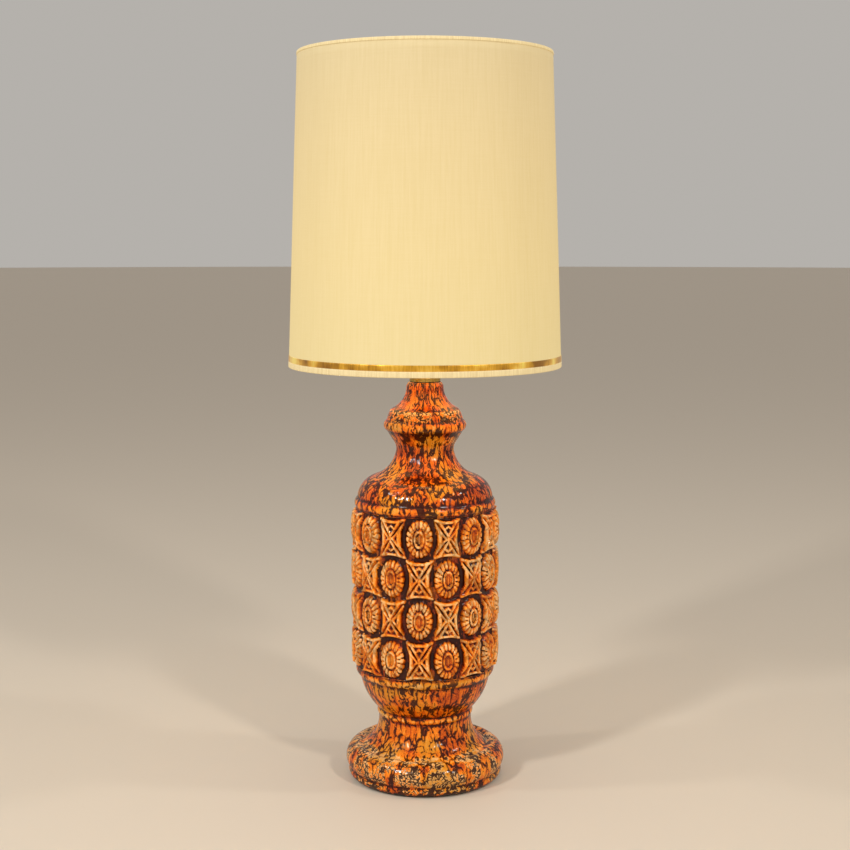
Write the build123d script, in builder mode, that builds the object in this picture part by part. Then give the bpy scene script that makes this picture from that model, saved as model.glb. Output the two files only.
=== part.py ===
"""Glazed ceramic table lamp with a tall tapered drum shade.

Millimetres, +Z up, origin at the centre of the underside, front towards -Y.
A threaded tube clamps the hollow ceramic body between a nut in the foot and a brass cap on the neck.
It carries an E27 lampholder, whose outer thread and ring clamp the fitter of the shade.
"""

import math
import os

from build123d import *

os.makedirs("parts", exist_ok=True)

# ---------------------------------------------------------------- clearances
slide_gap = 0.3  # between faces that slide or turn past each other
thread_gap = 0.05  # radial, between a plain "thread" and its nut
pass_gap = 0.6  # radial, where the tube passes loosely through a hole
glue_gap = 0.05  # between two layers that are glued together

# ---------------------------------------------------------------- ceramic body, from the foot up
felt_radius = 80.0
felt_thickness = 1.5
wall = 6.5

seat_radius = 82.0
bead_height = 9.5
bead_bow = 2.6
foot_groove_radius = 84.5
swell_height = 26.5
swell_bow = 8.7
ridge_radius = 75.0
trough_radius = 70.5
trough_depth = 2.0
flare_bow = -6.5
stem_radius = 52.2
stem_height = 34.0
waist_bead_height = 7.0
waist_bead_bow = 1.5
bowl_height = 38.5
bowl_bow = 3.6
lower_ring_height = 11.0
lower_ring_bow = 2.8

ground_radius = 77.0
bowl_step = 4.5  # from the ground in to the bowl's rim
bowl_radius = ground_radius - bowl_step
tile_rows = 4
tile_columns = 16
row_height = 44.5
first_column_angle = -4.5  # of the first oval in the top row, from the front towards +X
tile_root_depth = 3.0
oval_width = 27.0
oval_height = 39.0
oval_rise = 4.3
heart_width = 9.0
heart_height = 19.0
heart_rise = 5.3
pillow_width = 28.0
pillow_height = 41.0
pillow_waist = 3.5  # how far each side of a pillow curves in
pillow_rise = 3.4
rib_width = 3.0
rib_end_gap = 4.5  # from a rib's end to the pillow's corner
rib_rise = 4.8

upper_ring_height = 11.0
upper_ring_bow = 2.6
shoulder_step = 2.0  # from the ground in to the shoulder's foot
shoulder_radius = ground_radius - shoulder_step
shoulder_drop = 23.0
shoulder_bow = 4.2
shoulder_edge_radius = 58.0
waist_rise = 29.0
waist_bow = -5.6
neck_waist_radius = 31.8
neck_rise = 11.5
neck_rise_bow = -1.0
collar_radius = 35.7
collar_height = 10.5
ring_seat_radius = 42.0
ring_height = 12.0
ring_bow = 3.6
band_height = 10.5
band_top_radius = 38.2
band_bow = 0.4
bead_step = 1.5
cone_height = 25.5
cone_bow = -4.6
cone_top_radius = 20.3
lip_height = 4.0
lip_radius = 18.5

recess_radius = 66.0
recess_height = 22.5
floor_thickness = 7.0
neck_web = 8.0
neck_bore_radius = 13.0

# ---------------------------------------------------------------- cord hole in the foot
cord_hole_radius = 4.5
cord_hole_height = 12.5  # of its axis over the felt
grommet_bore_radius = 3.2
grommet_flange_radius = 6.7
grommet_flange_thickness = 2.2
grommet_seat = 84.3  # distance of the flange's flat seat from the axis

# ---------------------------------------------------------------- tube and its fastenings
tube_radius = 5.0
tube_bore_radius = 3.8
tube_below_nut = 3.5
tube_in_holder = 8.0
floor_gasket_radius = 16.0
gasket_thickness = 1.5
clamp_plate_radius = 20.0
clamp_plate_thickness = 2.0
nut_across_flats = 14.0
nut_height = 4.0
neck_gasket_thickness = 1.0
neck_cap_radius = 17.0
neck_cap_height = 5.0
neck_cap_wall = 1.2
lock_nut_height = 3.0

# ---------------------------------------------------------------- lampholder
holder_neck_radius = 8.5
holder_neck_height = 8.0
dome_height = 8.0
dome_bow = 1.6
holder_radius = 20.5
holder_wall = 4.0
thread_wall = 2.0
chamber_height = 11.0
spigot_height = 6.0
insert_thickness = 5.0
insert_post_radius = 12.0
insert_post_height = 3.0
shell_flange_radius = 24.5
shell_flange_height = 3.0
shell_thread_radius = 19.9
shell_thread_height = 21.0
shell_bore_radius = 16.5
grub_radius = 1.5
grub_height = 4.0  # of its axis over the holder's lower end

switch_body_height = 5.5
bar_radius = 2.3
bar_cap_radius = 3.0
bar_cap_length = 3.0
bar_travel = 6.0
bar_stand = 3.0  # how far the pressed end stands out of the holder

block_length = 8.0
block_width = 5.0
block_height = 3.5
block_spread = 8.5  # of each terminal block from the axis
screw_radius = 1.4
screw_head_radius = 2.2
screw_head_height = 1.2

contact_width = 5.0
contact_leaf = 0.5
contact_reach = 9.0
contact_lift = 1.3
screw_shell_bore_radius = 13.45
screw_shell_wall = 0.5
screw_shell_height = 26.0

# ---------------------------------------------------------------- clamp of the shade
fibre_washer_thickness = 1.5
fitter_thickness = 2.0
fitter_radius = 28.0
slip_washer_thickness = 1.0
washer_radius = 24.3
shade_ring_radius = 26.0
shade_ring_height = 7.0
grip_count = 18
grip_radius = 1.4

# ---------------------------------------------------------------- shade
shade_bottom = 462.0
shade_height = 335.5
shade_bottom_radius = 148.9
shade_top_radius = 136.6
fabric_thickness = 0.4
lining_thickness = 0.8
wire_radius = 1.5
arm_radius = 1.8
arm_count = 3
arm_start = 26.2
arm_drop = 0.6  # of an arm's start below the middle of the fitter ring
first_arm_angle = 90.0
tape_thickness = 0.4
bottom_tape_width = 6.4
top_tape_width = 3.4
inner_tape_width = 5.0
band_gap = 0.1
band_width = 6.3
band_thickness = 0.3

# ---------------------------------------------------------------- bulb
bulb_length = 105.0
bulb_radius = 30.0
bulb_neck_radius = 14.0
bulb_shoulder_angle = 35.0
bulb_neck_height = 13.0  # of the straight neck over the cap
glass_wall = 0.8
cap_radius = 13.1
cap_wall = 0.5
cap_height = 21.5
cap_bottom = 5.0  # of the metal cap over the tip
contact_radius = 4.8
contact_height = 1.3
insulator_height = 7.0
bulb_stem_radius = 3.5
bulb_stem_height = 34.0
filament_width = 22.0
filament_rise = 18.0
filament_radius = 0.7
lead_radius = 0.4


def outward(start, end, bow):
    """Middle point of an arc from start to end that stands off the chord by bow.

    A positive bow swells away from the axis when the outline is drawn upwards.
    """
    run, rise = end[0] - start[0], end[1] - start[1]
    length = math.hypot(run, rise)
    middle = ((start[0] + end[0]) / 2, (start[1] + end[1]) / 2)
    return (middle[0] + bow * rise / length, middle[1] - bow * run / length)


def tile_plane(angle, height, radius):
    """Plane that faces away from the axis, with its local Y along +Z."""
    turn = math.radians(angle)
    face = Vector(math.sin(turn), -math.cos(turn), 0)
    along = Vector(math.cos(turn), math.sin(turn), 0)
    return Plane(origin=face * radius + Vector(0, 0, height), x_dir=along, z_dir=face)


def tile_planes(kind, radius):
    """Planes of the tiles of one kind, 0 for the ovals and 1 for the pillows."""
    planes = []
    for row in range(tile_rows):
        for column in range(tile_columns):
            if (row + column) % 2 == kind:
                angle = first_column_angle + column * 360 / tile_columns
                height = relief_bottom + (tile_rows - row - 0.5) * row_height
                planes.append(tile_plane(angle, height, radius))
    return planes


# ---------------------------------------------------------------- levels of the ceramic body
body_bottom = felt_thickness
bead_top = body_bottom + bead_height
ridge_level = bead_top + swell_height
stem_top = ridge_level + stem_height
bowl_bottom = stem_top + waist_bead_height
bowl_top = bowl_bottom + bowl_height
relief_bottom = bowl_top + lower_ring_height
relief_top = relief_bottom + tile_rows * row_height
shoulder_bottom = relief_top + upper_ring_height
shoulder_edge = shoulder_bottom + shoulder_drop
neck_waist = shoulder_edge + waist_rise
collar_bottom = neck_waist + neck_rise
ring_bottom = collar_bottom + collar_height
band_bottom = ring_bottom + ring_height
band_top = band_bottom + band_height
cone_bottom = band_top + bead_step
cone_top = cone_bottom + cone_height
neck_top = cone_top + lip_height

recess_top = body_bottom + recess_height
floor_top = recess_top + floor_thickness
neck_web_bottom = neck_top - neck_web
cord_hole_level = body_bottom + cord_hole_height

# ---------------------------------------------------------------- levels of the fastenings and lampholder
floor_gasket_bottom = recess_top - gasket_thickness
clamp_plate_bottom = floor_gasket_bottom - clamp_plate_thickness
lower_nut_bottom = clamp_plate_bottom - nut_height
tube_bottom = lower_nut_bottom - tube_below_nut
neck_cap_bottom = neck_top + neck_gasket_thickness
neck_cap_top = neck_cap_bottom + neck_cap_height
holder_bottom = neck_cap_top + lock_nut_height
tube_top = holder_bottom + tube_in_holder
dome_bottom = holder_bottom + holder_neck_height
dome_top = dome_bottom + dome_height
insert_bottom = dome_top + chamber_height
insert_top = insert_bottom + insert_thickness
post_top = insert_top + insert_post_height
holder_cap_top = insert_top + spigot_height
flange_top = holder_cap_top + shell_flange_height
shell_top = flange_top + shell_thread_height
switch_body_bottom = dome_top + slide_gap
bar_level = switch_body_bottom + switch_body_height / 2
grub_level = holder_bottom + grub_height

fibre_washer_bottom = flange_top
fitter_bottom = fibre_washer_bottom + fibre_washer_thickness
slip_washer_bottom = fitter_bottom + fitter_thickness
shade_ring_bottom = slip_washer_bottom + slip_washer_thickness
clamp_bore_radius = shell_thread_radius + slide_gap
tube_hole_radius = tube_radius + pass_gap
chamber_radius = holder_radius - holder_wall
thread_bore_radius = holder_radius - thread_wall

# ---------------------------------------------------------------- levels of the shade
shade_top = shade_bottom + shade_height
cloth_bottom = shade_bottom + tape_thickness + glue_gap
cloth_top = shade_top - tape_thickness - glue_gap
lining_inset = fabric_thickness + glue_gap + lining_thickness
wire_inset = lining_inset + glue_gap + wire_radius
bottom_wire_level = cloth_bottom + wire_radius
top_wire_level = cloth_top - wire_radius
ribbon_bottom = shade_bottom + bottom_tape_width + band_gap
ribbon_top = ribbon_bottom + band_width

# ---------------------------------------------------------------- levels of the bulb
bulb_bottom = post_top + contact_leaf + contact_lift
bulb_cap_bottom = bulb_bottom + cap_bottom
bulb_cap_top = bulb_cap_bottom + cap_height
bulb_top = bulb_bottom + bulb_length
glass_neck_radius = cap_radius - cap_wall - glue_gap
ball_centre = bulb_top - bulb_radius
glass_bottom = bulb_cap_top - bulb_neck_height / 2
bulb_stem_top = glass_bottom + bulb_stem_height


def shade_radius(level):
    """Radius of the shade's cloth, outside, at a height."""
    share = (level - shade_bottom) / shade_height
    return shade_bottom_radius + share * (shade_top_radius - shade_bottom_radius)


# ================================================================ ceramic body and foot
with BuildPart() as ceramic_body:
    with BuildSketch(Plane.XZ):
        with BuildLine():
            foot_groove = (foot_groove_radius, bead_top)
            ridge = (ridge_radius, ridge_level)
            trough = (trough_radius, ridge_level - trough_depth)
            stem_foot = (stem_radius, stem_top - bead_height)
            bowl_foot = (stem_radius, bowl_bottom)
            bowl_edge = (bowl_radius, bowl_top)
            relief_foot = (ground_radius - 1, relief_bottom)
            ring_foot = (ground_radius - 1, relief_top)
            shoulder_foot = (shoulder_radius, shoulder_bottom)
            shoulder_break = (shoulder_edge_radius, shoulder_edge)
            waist = (neck_waist_radius, neck_waist)
            collar_foot = (collar_radius, collar_bottom)
            ring_seat = (ring_seat_radius, ring_bottom)
            band_foot = (ring_seat_radius, band_bottom)
            band_head = (band_top_radius, band_top)
            cone_foot = (band_top_radius - bead_step, cone_bottom)
            cone_head = (cone_top_radius, cone_top)

            Line((0, body_bottom), (seat_radius, body_bottom))
            seat = (seat_radius, body_bottom)
            ThreePointArc(seat, outward(seat, foot_groove, bead_bow), foot_groove)
            ThreePointArc(foot_groove, outward(foot_groove, ridge, swell_bow), ridge)
            Line(ridge, trough)
            ThreePointArc(trough, outward(trough, stem_foot, flare_bow), stem_foot)
            Line(stem_foot, (stem_radius, stem_top))
            waist_bead = (stem_radius, stem_top)
            ThreePointArc(waist_bead, outward(waist_bead, bowl_foot, waist_bead_bow), bowl_foot)
            ThreePointArc(bowl_foot, outward(bowl_foot, bowl_edge, bowl_bow), bowl_edge)
            ThreePointArc(bowl_edge, outward(bowl_edge, relief_foot, lower_ring_bow), relief_foot)
            Line(relief_foot, (ground_radius, relief_bottom))
            Line((ground_radius, relief_bottom), (ground_radius, relief_top))
            Line((ground_radius, relief_top), ring_foot)
            ThreePointArc(ring_foot, outward(ring_foot, shoulder_foot, upper_ring_bow), shoulder_foot)
            ThreePointArc(
                shoulder_foot, outward(shoulder_foot, shoulder_break, shoulder_bow), shoulder_break
            )
            ThreePointArc(shoulder_break, outward(shoulder_break, waist, waist_bow), waist)
            ThreePointArc(waist, outward(waist, collar_foot, neck_rise_bow), collar_foot)
            Line(collar_foot, ring_seat)
            ThreePointArc(ring_seat, outward(ring_seat, band_foot, ring_bow), band_foot)
            ThreePointArc(band_foot, outward(band_foot, band_head, band_bow), band_head)
            Line(band_head, cone_foot)
            ThreePointArc(cone_foot, outward(cone_foot, cone_head, cone_bow), cone_head)
            Line(cone_head, (lip_radius, neck_top))
            Line((lip_radius, neck_top), (0, neck_top))
            Line((0, neck_top), (0, body_bottom))
        make_face()
    revolve(axis=Axis.Z)

    # Relief: ovals and four-cornered pillows take turns along and across the rows.
    for plane in tile_planes(0, ground_radius - tile_root_depth):
        with BuildSketch(plane):
            Ellipse(oval_width / 2, oval_height / 2)
    extrude(amount=tile_root_depth + oval_rise)
    for plane in tile_planes(0, ground_radius):
        with BuildSketch(plane):
            Ellipse(heart_width / 2, heart_height / 2)
    extrude(amount=heart_rise)
    for plane in tile_planes(1, ground_radius - tile_root_depth):
        with BuildSketch(plane):
            with BuildLine():
                right, high = pillow_width / 2, pillow_height / 2
                corners = [(right, high), (-right, high), (-right, -high), (right, -high)]
                for start, end in zip(corners, corners[1:] + corners[:1]):
                    ThreePointArc(start, outward(start, end, -pillow_waist), end)
            make_face()
    extrude(amount=tile_root_depth + pillow_rise)
    rib_lean = math.degrees(math.atan2(pillow_height, pillow_width))
    rib_length = math.hypot(pillow_width, pillow_height) - 2 * rib_end_gap
    for plane in tile_planes(1, ground_radius):
        with BuildSketch(plane):
            Rectangle(rib_length, rib_width, rotation=rib_lean)
            Rectangle(rib_length, rib_width, rotation=-rib_lean)
    extrude(amount=rib_rise)

    # Hollow of the casting, between the floor over the foot and the web under the neck's lip.
    with BuildSketch(Plane.XZ):
        with BuildLine():
            stem_inside = (stem_radius - wall, bowl_bottom)
            bowl_inside = (ground_radius - wall, relief_bottom)
            shoulder_inside = (ground_radius - wall, shoulder_bottom - wall)
            break_inside = (shoulder_edge_radius - wall, shoulder_edge - wall)
            waist_inside = (neck_waist_radius - wall, neck_waist)
            collar_inside = (neck_waist_radius - wall, ring_bottom)
            web_inside = (neck_bore_radius, neck_web_bottom)
            Line((0, floor_top), (stem_radius - wall, floor_top))
            Line((stem_radius - wall, floor_top), stem_inside)
            ThreePointArc(stem_inside, outward(stem_inside, bowl_inside, bowl_bow), bowl_inside)
            Line(bowl_inside, shoulder_inside)
            ThreePointArc(
                shoulder_inside, outward(shoulder_inside, break_inside, shoulder_bow), break_inside
            )
            ThreePointArc(break_inside, outward(break_inside, waist_inside, waist_bow), waist_inside)
            Line(waist_inside, collar_inside)
            Line(collar_inside, web_inside)
            Line(web_inside, (0, neck_web_bottom))
            Line((0, neck_web_bottom), (0, floor_top))
        make_face()
    revolve(axis=Axis.Z, mode=Mode.SUBTRACT)

    # Recess under the floor, and the holes for the tube.
    with BuildSketch(Plane.XY.offset(body_bottom)):
        Circle(recess_radius)
    extrude(amount=recess_height, mode=Mode.SUBTRACT)
    with BuildSketch(Plane.XY.offset(recess_top)):
        Circle(tube_hole_radius)
    extrude(amount=neck_top - recess_top, mode=Mode.SUBTRACT)

    # Cord hole through the back of the foot, with a flat seat for the grommet's flange.
    with BuildSketch(Plane.XZ.offset(-(recess_radius - wall))):
        with Locations((0, cord_hole_level)):
            Circle(cord_hole_radius)
    extrude(amount=-(grommet_seat - recess_radius + 2 * wall), mode=Mode.SUBTRACT)
    with BuildSketch(Plane.XZ.offset(-grommet_seat)):
        with Locations((0, cord_hole_level)):
            Circle(grommet_flange_radius + slide_gap)
    extrude(amount=-wall, mode=Mode.SUBTRACT)
ceramic_body.part.label = "ceramic_body"
export_step(ceramic_body.part, "parts/ceramic_body.step")

with BuildPart() as foot_felt:
    with BuildSketch(Plane.XY):
        Circle(felt_radius)
    extrude(amount=felt_thickness)
foot_felt.part.label = "foot_felt"
export_step(foot_felt.part, "parts/foot_felt.step")

with BuildPart() as cord_grommet:
    with BuildSketch(Plane.XZ.offset(-recess_radius)):
        with Locations((0, cord_hole_level)):
            Circle(cord_hole_radius - glue_gap)
    extrude(amount=-(grommet_seat - recess_radius))
    with BuildSketch(Plane.XZ.offset(-grommet_seat)):
        with Locations((0, cord_hole_level)):
            Circle(grommet_flange_radius)
    extrude(amount=-grommet_flange_thickness)
    with BuildSketch(Plane.XZ.offset(-recess_radius)):
        with Locations((0, cord_hole_level)):
            Circle(grommet_bore_radius)
    extrude(amount=-(grommet_seat - recess_radius + grommet_flange_thickness), mode=Mode.SUBTRACT)
    fillet(cord_grommet.edges().filter_by(GeomType.CIRCLE).sort_by(Axis.Y)[-2:], 0.6)
cord_grommet.part.label = "cord_grommet"
export_step(cord_grommet.part, "parts/cord_grommet.step")

# ================================================================ tube and its fastenings
with BuildPart() as lamp_tube:
    with BuildSketch(Plane.XY.offset(tube_bottom)):
        Circle(tube_radius)
        Circle(tube_bore_radius, mode=Mode.SUBTRACT)
    extrude(amount=tube_top - tube_bottom)
lamp_tube.part.label = "lamp_tube"
export_step(lamp_tube.part, "parts/lamp_tube.step")

with BuildPart() as floor_gasket:
    with BuildSketch(Plane.XY.offset(floor_gasket_bottom)):
        Circle(floor_gasket_radius)
        Circle(tube_hole_radius, mode=Mode.SUBTRACT)
    extrude(amount=gasket_thickness)
floor_gasket.part.label = "floor_gasket"
export_step(floor_gasket.part, "parts/floor_gasket.step")

with BuildPart() as clamp_plate:
    with BuildSketch(Plane.XY.offset(clamp_plate_bottom)):
        Circle(clamp_plate_radius)
        Circle(tube_hole_radius, mode=Mode.SUBTRACT)
    extrude(amount=clamp_plate_thickness)
clamp_plate.part.label = "clamp_plate"
export_step(clamp_plate.part, "parts/clamp_plate.step")

with BuildPart() as lower_nut:
    with BuildSketch(Plane.XY.offset(lower_nut_bottom)):
        RegularPolygon(nut_across_flats / 2, 6, major_radius=False)
        Circle(tube_radius + thread_gap, mode=Mode.SUBTRACT)
    extrude(amount=nut_height)
lower_nut.part.label = "lower_nut"
export_step(lower_nut.part, "parts/lower_nut.step")

with BuildPart() as neck_gasket:
    with BuildSketch(Plane.XY.offset(neck_top)):
        Circle(neck_cap_radius)
        Circle(tube_hole_radius, mode=Mode.SUBTRACT)
    extrude(amount=neck_gasket_thickness)
neck_gasket.part.label = "neck_gasket"
export_step(neck_gasket.part, "parts/neck_gasket.step")

with BuildPart() as neck_cap:
    with BuildSketch(Plane.XY.offset(neck_cap_bottom)):
        Circle(neck_cap_radius)
    extrude(amount=neck_cap_height)
    fillet(neck_cap.faces().sort_by(Axis.Z)[-1].edges(), neck_cap_wall)
    with BuildSketch(Plane.XY.offset(neck_cap_bottom)):
        Circle(neck_cap_radius - neck_cap_wall)
    extrude(amount=neck_cap_height - neck_cap_wall, mode=Mode.SUBTRACT)
    with BuildSketch(Plane.XY.offset(neck_cap_bottom)):
        Circle(tube_radius + slide_gap)
    extrude(amount=neck_cap_height, mode=Mode.SUBTRACT)
neck_cap.part.label = "neck_cap"
export_step(neck_cap.part, "parts/neck_cap.step")

with BuildPart() as lock_nut:
    with BuildSketch(Plane.XY.offset(neck_cap_top)):
        RegularPolygon(nut_across_flats / 2, 6, major_radius=False)
        Circle(tube_radius + thread_gap, mode=Mode.SUBTRACT)
    extrude(amount=lock_nut_height)
lock_nut.part.label = "lock_nut"
export_step(lock_nut.part, "parts/lock_nut.step")

# ================================================================ lampholder
with BuildPart() as holder_cap:
    with BuildSketch(Plane.XZ):
        with BuildLine():
            neck_head = (holder_neck_radius, dome_bottom)
            dome_edge = (holder_radius, dome_top)
            chamber_foot = (chamber_radius, dome_top)
            Polyline(
                (tube_radius + thread_gap, holder_bottom), (holder_neck_radius, holder_bottom), neck_head
            )
            ThreePointArc(neck_head, outward(neck_head, dome_edge, dome_bow), dome_edge)
            Polyline(
                dome_edge,
                (holder_radius, holder_cap_top),
                (thread_bore_radius, holder_cap_top),
                (thread_bore_radius, insert_bottom),
                (chamber_radius, insert_bottom),
                chamber_foot,
                (tube_radius + thread_gap, dome_bottom + slide_gap),
                (tube_radius + thread_gap, holder_bottom),
            )
        make_face()
    revolve(axis=Axis.Z)
    # Guide hole of the switch bar, right through both sides.
    with BuildSketch(Plane.YZ.offset(-holder_radius - wall)):
        with Locations((0, bar_level)):
            Circle(bar_cap_radius + slide_gap)
    extrude(amount=2 * (holder_radius + wall), mode=Mode.SUBTRACT)
    # Hole of the grub screw that stops the holder turning on the tube.
    with BuildSketch(Plane.XZ):
        with Locations((0, grub_level)):
            Circle(grub_radius + thread_gap)
    extrude(amount=-holder_radius, mode=Mode.SUBTRACT)
holder_cap.part.label = "holder_cap"
export_step(holder_cap.part, "parts/holder_cap.step")

with BuildPart() as grub_screw:
    with BuildSketch(Plane.XZ.offset(-(tube_radius + thread_gap))):
        with Locations((0, grub_level)):
            Circle(grub_radius)
    extrude(amount=-(holder_neck_radius - tube_radius))
    with BuildSketch(Plane.XZ.offset(-(holder_neck_radius + thread_gap))):
        with Locations((0, grub_level)):
            Rectangle(2 * grub_radius, grub_radius / 3)
    extrude(amount=grub_radius / 2, mode=Mode.SUBTRACT)
grub_screw.part.label = "grub_screw"
export_step(grub_screw.part, "parts/grub_screw.step")

with BuildPart() as switch_body:
    with BuildSketch(Plane.XY.offset(switch_body_bottom)):
        Circle(chamber_radius - slide_gap)
    extrude(amount=switch_body_height)
    with BuildSketch(Plane.YZ.offset(-chamber_radius)):
        with Locations((0, bar_level)):
            Circle(bar_radius + slide_gap)
    extrude(amount=2 * chamber_radius, mode=Mode.SUBTRACT)
    # Two ways for the leads, beside the bar.
    with BuildSketch(Plane.XY.offset(switch_body_bottom)):
        with Locations((0, chamber_radius / 2), (0, -chamber_radius / 2)):
            SlotOverall(4 * bar_radius, bar_radius)
    extrude(amount=switch_body_height, mode=Mode.SUBTRACT)
switch_body.part.label = "switch_body"
export_step(switch_body.part, "parts/switch_body.step")

with BuildPart() as switch_bar:
    bar_left = -holder_radius - bar_stand
    bar_right = holder_radius + bar_stand + bar_travel
    # At rest the bar stands out further at -X, and it is pushed towards +X.
    with BuildSketch(Plane.YZ.offset(-bar_right)):
        with Locations((0, bar_level)):
            Circle(bar_radius)
    extrude(amount=bar_right - bar_left)
    with BuildSketch(Plane.YZ.offset(-bar_right)):
        with Locations((0, bar_level)):
            Circle(bar_cap_radius)
    extrude(amount=bar_cap_length)
    with BuildSketch(Plane.YZ.offset(-bar_left)):
        with Locations((0, bar_level)):
            Circle(bar_cap_radius)
    extrude(amount=-bar_cap_length)
    fillet(switch_bar.faces().sort_by(Axis.X)[0].edges(), bar_cap_radius / 3)
    fillet(switch_bar.faces().sort_by(Axis.X)[-1].edges(), bar_cap_radius / 3)
switch_bar.part.label = "switch_bar"
export_step(switch_bar.part, "parts/switch_bar.step")

with BuildPart() as holder_insert:
    with BuildSketch(Plane.XY.offset(insert_bottom)):
        Circle(thread_bore_radius - glue_gap)
    extrude(amount=insert_thickness)
    with BuildSketch(Plane.XY.offset(insert_top)):
        Circle(insert_post_radius)
    extrude(amount=insert_post_height)
    with BuildSketch(Plane.XY.offset(insert_bottom)):
        with Locations((0, block_spread), (0, -block_spread)):
            Circle(screw_head_radius)
    extrude(amount=insert_thickness, mode=Mode.SUBTRACT)
holder_insert.part.label = "holder_insert"
export_step(holder_insert.part, "parts/holder_insert.step")

with BuildPart() as terminal_blocks:
    with BuildSketch(Plane.XY.offset(insert_bottom - block_height)):
        with Locations((block_spread, 0), (-block_spread, 0)):
            Rectangle(block_width, block_length)
    extrude(amount=block_height)
    with BuildSketch(Plane.XY.offset(insert_bottom - block_height)):
        with Locations((block_spread, 0), (-block_spread, 0)):
            Circle(screw_radius + thread_gap)
    extrude(amount=block_height, mode=Mode.SUBTRACT)
terminal_blocks.part.label = "terminal_blocks"
export_step(terminal_blocks.part, "parts/terminal_blocks.step")

with BuildPart() as terminal_screws:
    with BuildSketch(Plane.XY.offset(insert_bottom - block_height)):
        with Locations((block_spread, 0), (-block_spread, 0)):
            Circle(screw_radius)
    extrude(amount=block_height - thread_gap)
    with BuildSketch(Plane.XY.offset(insert_bottom - block_height - screw_head_height)):
        with Locations((block_spread, 0), (-block_spread, 0)):
            Circle(screw_head_radius)
    extrude(amount=screw_head_height)
terminal_screws.part.label = "terminal_screws"
export_step(terminal_screws.part, "parts/terminal_screws.step")

with BuildPart() as centre_contact:
    # A spring leaf: its foot lies on the insert's post and its free end lifts under the bulb.
    with BuildSketch(Plane.XZ.offset(-contact_width / 2)):
        with BuildLine():
            heel = contact_reach / 3
            leaf_top = bulb_bottom
            Polyline(
                (-contact_reach, post_top),
                (-heel, post_top),
                (contact_width / 2, leaf_top - contact_leaf),
                (contact_width / 2, leaf_top),
                (-contact_width / 4, leaf_top),
                (-heel - contact_leaf, post_top + contact_leaf),
                (-contact_reach, post_top + contact_leaf),
                close=True,
            )
        make_face()
    extrude(amount=contact_width)
centre_contact.part.label = "centre_contact"
export_step(centre_contact.part, "parts/centre_contact.step")

with BuildPart() as screw_shell:
    with BuildSketch(Plane.XY.offset(insert_top)):
        Circle(screw_shell_bore_radius + screw_shell_wall)
        Circle(screw_shell_bore_radius, mode=Mode.SUBTRACT)
    extrude(amount=screw_shell_height)
screw_shell.part.label = "screw_shell"
export_step(screw_shell.part, "parts/screw_shell.step")

with BuildPart() as holder_shell:
    with BuildSketch(Plane.XY.offset(insert_top)):
        Circle(thread_bore_radius - thread_gap)
    extrude(amount=spigot_height)
    with BuildSketch(Plane.XY.offset(holder_cap_top)):
        Circle(shell_flange_radius)
    extrude(amount=shell_flange_height)
    with BuildSketch(Plane.XY.offset(flange_top)):
        Circle(shell_thread_radius)
    extrude(amount=shell_thread_height)
    with BuildSketch(Plane.XY.offset(insert_top)):
        Circle(shell_bore_radius)
    extrude(amount=shell_top - insert_top, mode=Mode.SUBTRACT)
holder_shell.part.label = "holder_shell"
export_step(holder_shell.part, "parts/holder_shell.step")

# ================================================================ clamp of the shade
with BuildPart() as fibre_washer:
    with BuildSketch(Plane.XY.offset(fibre_washer_bottom)):
        Circle(washer_radius)
        Circle(clamp_bore_radius, mode=Mode.SUBTRACT)
    extrude(amount=fibre_washer_thickness)
fibre_washer.part.label = "fibre_washer"
export_step(fibre_washer.part, "parts/fibre_washer.step")

with BuildPart() as slip_washer:
    with BuildSketch(Plane.XY.offset(slip_washer_bottom)):
        Circle(washer_radius)
        Circle(clamp_bore_radius, mode=Mode.SUBTRACT)
    extrude(amount=slip_washer_thickness)
slip_washer.part.label = "slip_washer"
export_step(slip_washer.part, "parts/slip_washer.step")

with BuildPart() as shade_ring:
    with BuildSketch(Plane.XY.offset(shade_ring_bottom)):
        Circle(shade_ring_radius)
        Circle(clamp_bore_radius, mode=Mode.SUBTRACT)
        with PolarLocations(shade_ring_radius, grip_count):
            Circle(grip_radius, mode=Mode.SUBTRACT)
    extrude(amount=shade_ring_height)
shade_ring.part.label = "shade_ring"
export_step(shade_ring.part, "parts/shade_ring.step")

# ================================================================ shade
wire_ring_radius = shade_radius(bottom_wire_level) - wire_inset
arm_start_level = fitter_bottom + fitter_thickness / 2 - arm_drop
arm_pitch = 360 / arm_count
arm_planes = []
for arm in range(arm_count):
    arm_turn = math.radians(first_arm_angle + arm * arm_pitch)
    arm_out = Vector(math.cos(arm_turn), math.sin(arm_turn), 0)
    arm_root = arm_out * arm_start + Vector(0, 0, arm_start_level)
    arm_tip = arm_out * wire_ring_radius + Vector(0, 0, bottom_wire_level)
    arm_planes.append(Plane(origin=arm_root, z_dir=arm_tip - arm_root))
arm_length = math.hypot(wire_ring_radius - arm_start, arm_start_level - bottom_wire_level)

with BuildPart() as shade_fitter:
    with BuildSketch(Plane.XY.offset(fitter_bottom)):
        Circle(fitter_radius)
        Circle(clamp_bore_radius, mode=Mode.SUBTRACT)
    extrude(amount=fitter_thickness)
    for arm_plane in arm_planes:
        with BuildSketch(arm_plane):
            Circle(arm_radius)
        extrude(amount=arm_length)
    with BuildSketch(Plane.XZ):
        with Locations((wire_ring_radius, bottom_wire_level)):
            Circle(wire_radius)
    revolve(axis=Axis.Z)
shade_fitter.part.label = "shade_fitter"
export_step(shade_fitter.part, "parts/shade_fitter.step")

with BuildPart() as shade_top_wire:
    with BuildSketch(Plane.XZ):
        with Locations((shade_radius(top_wire_level) - wire_inset, top_wire_level)):
            Circle(wire_radius)
    revolve(axis=Axis.Z)
shade_top_wire.part.label = "shade_top_wire"
export_step(shade_top_wire.part, "parts/shade_top_wire.step")

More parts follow.
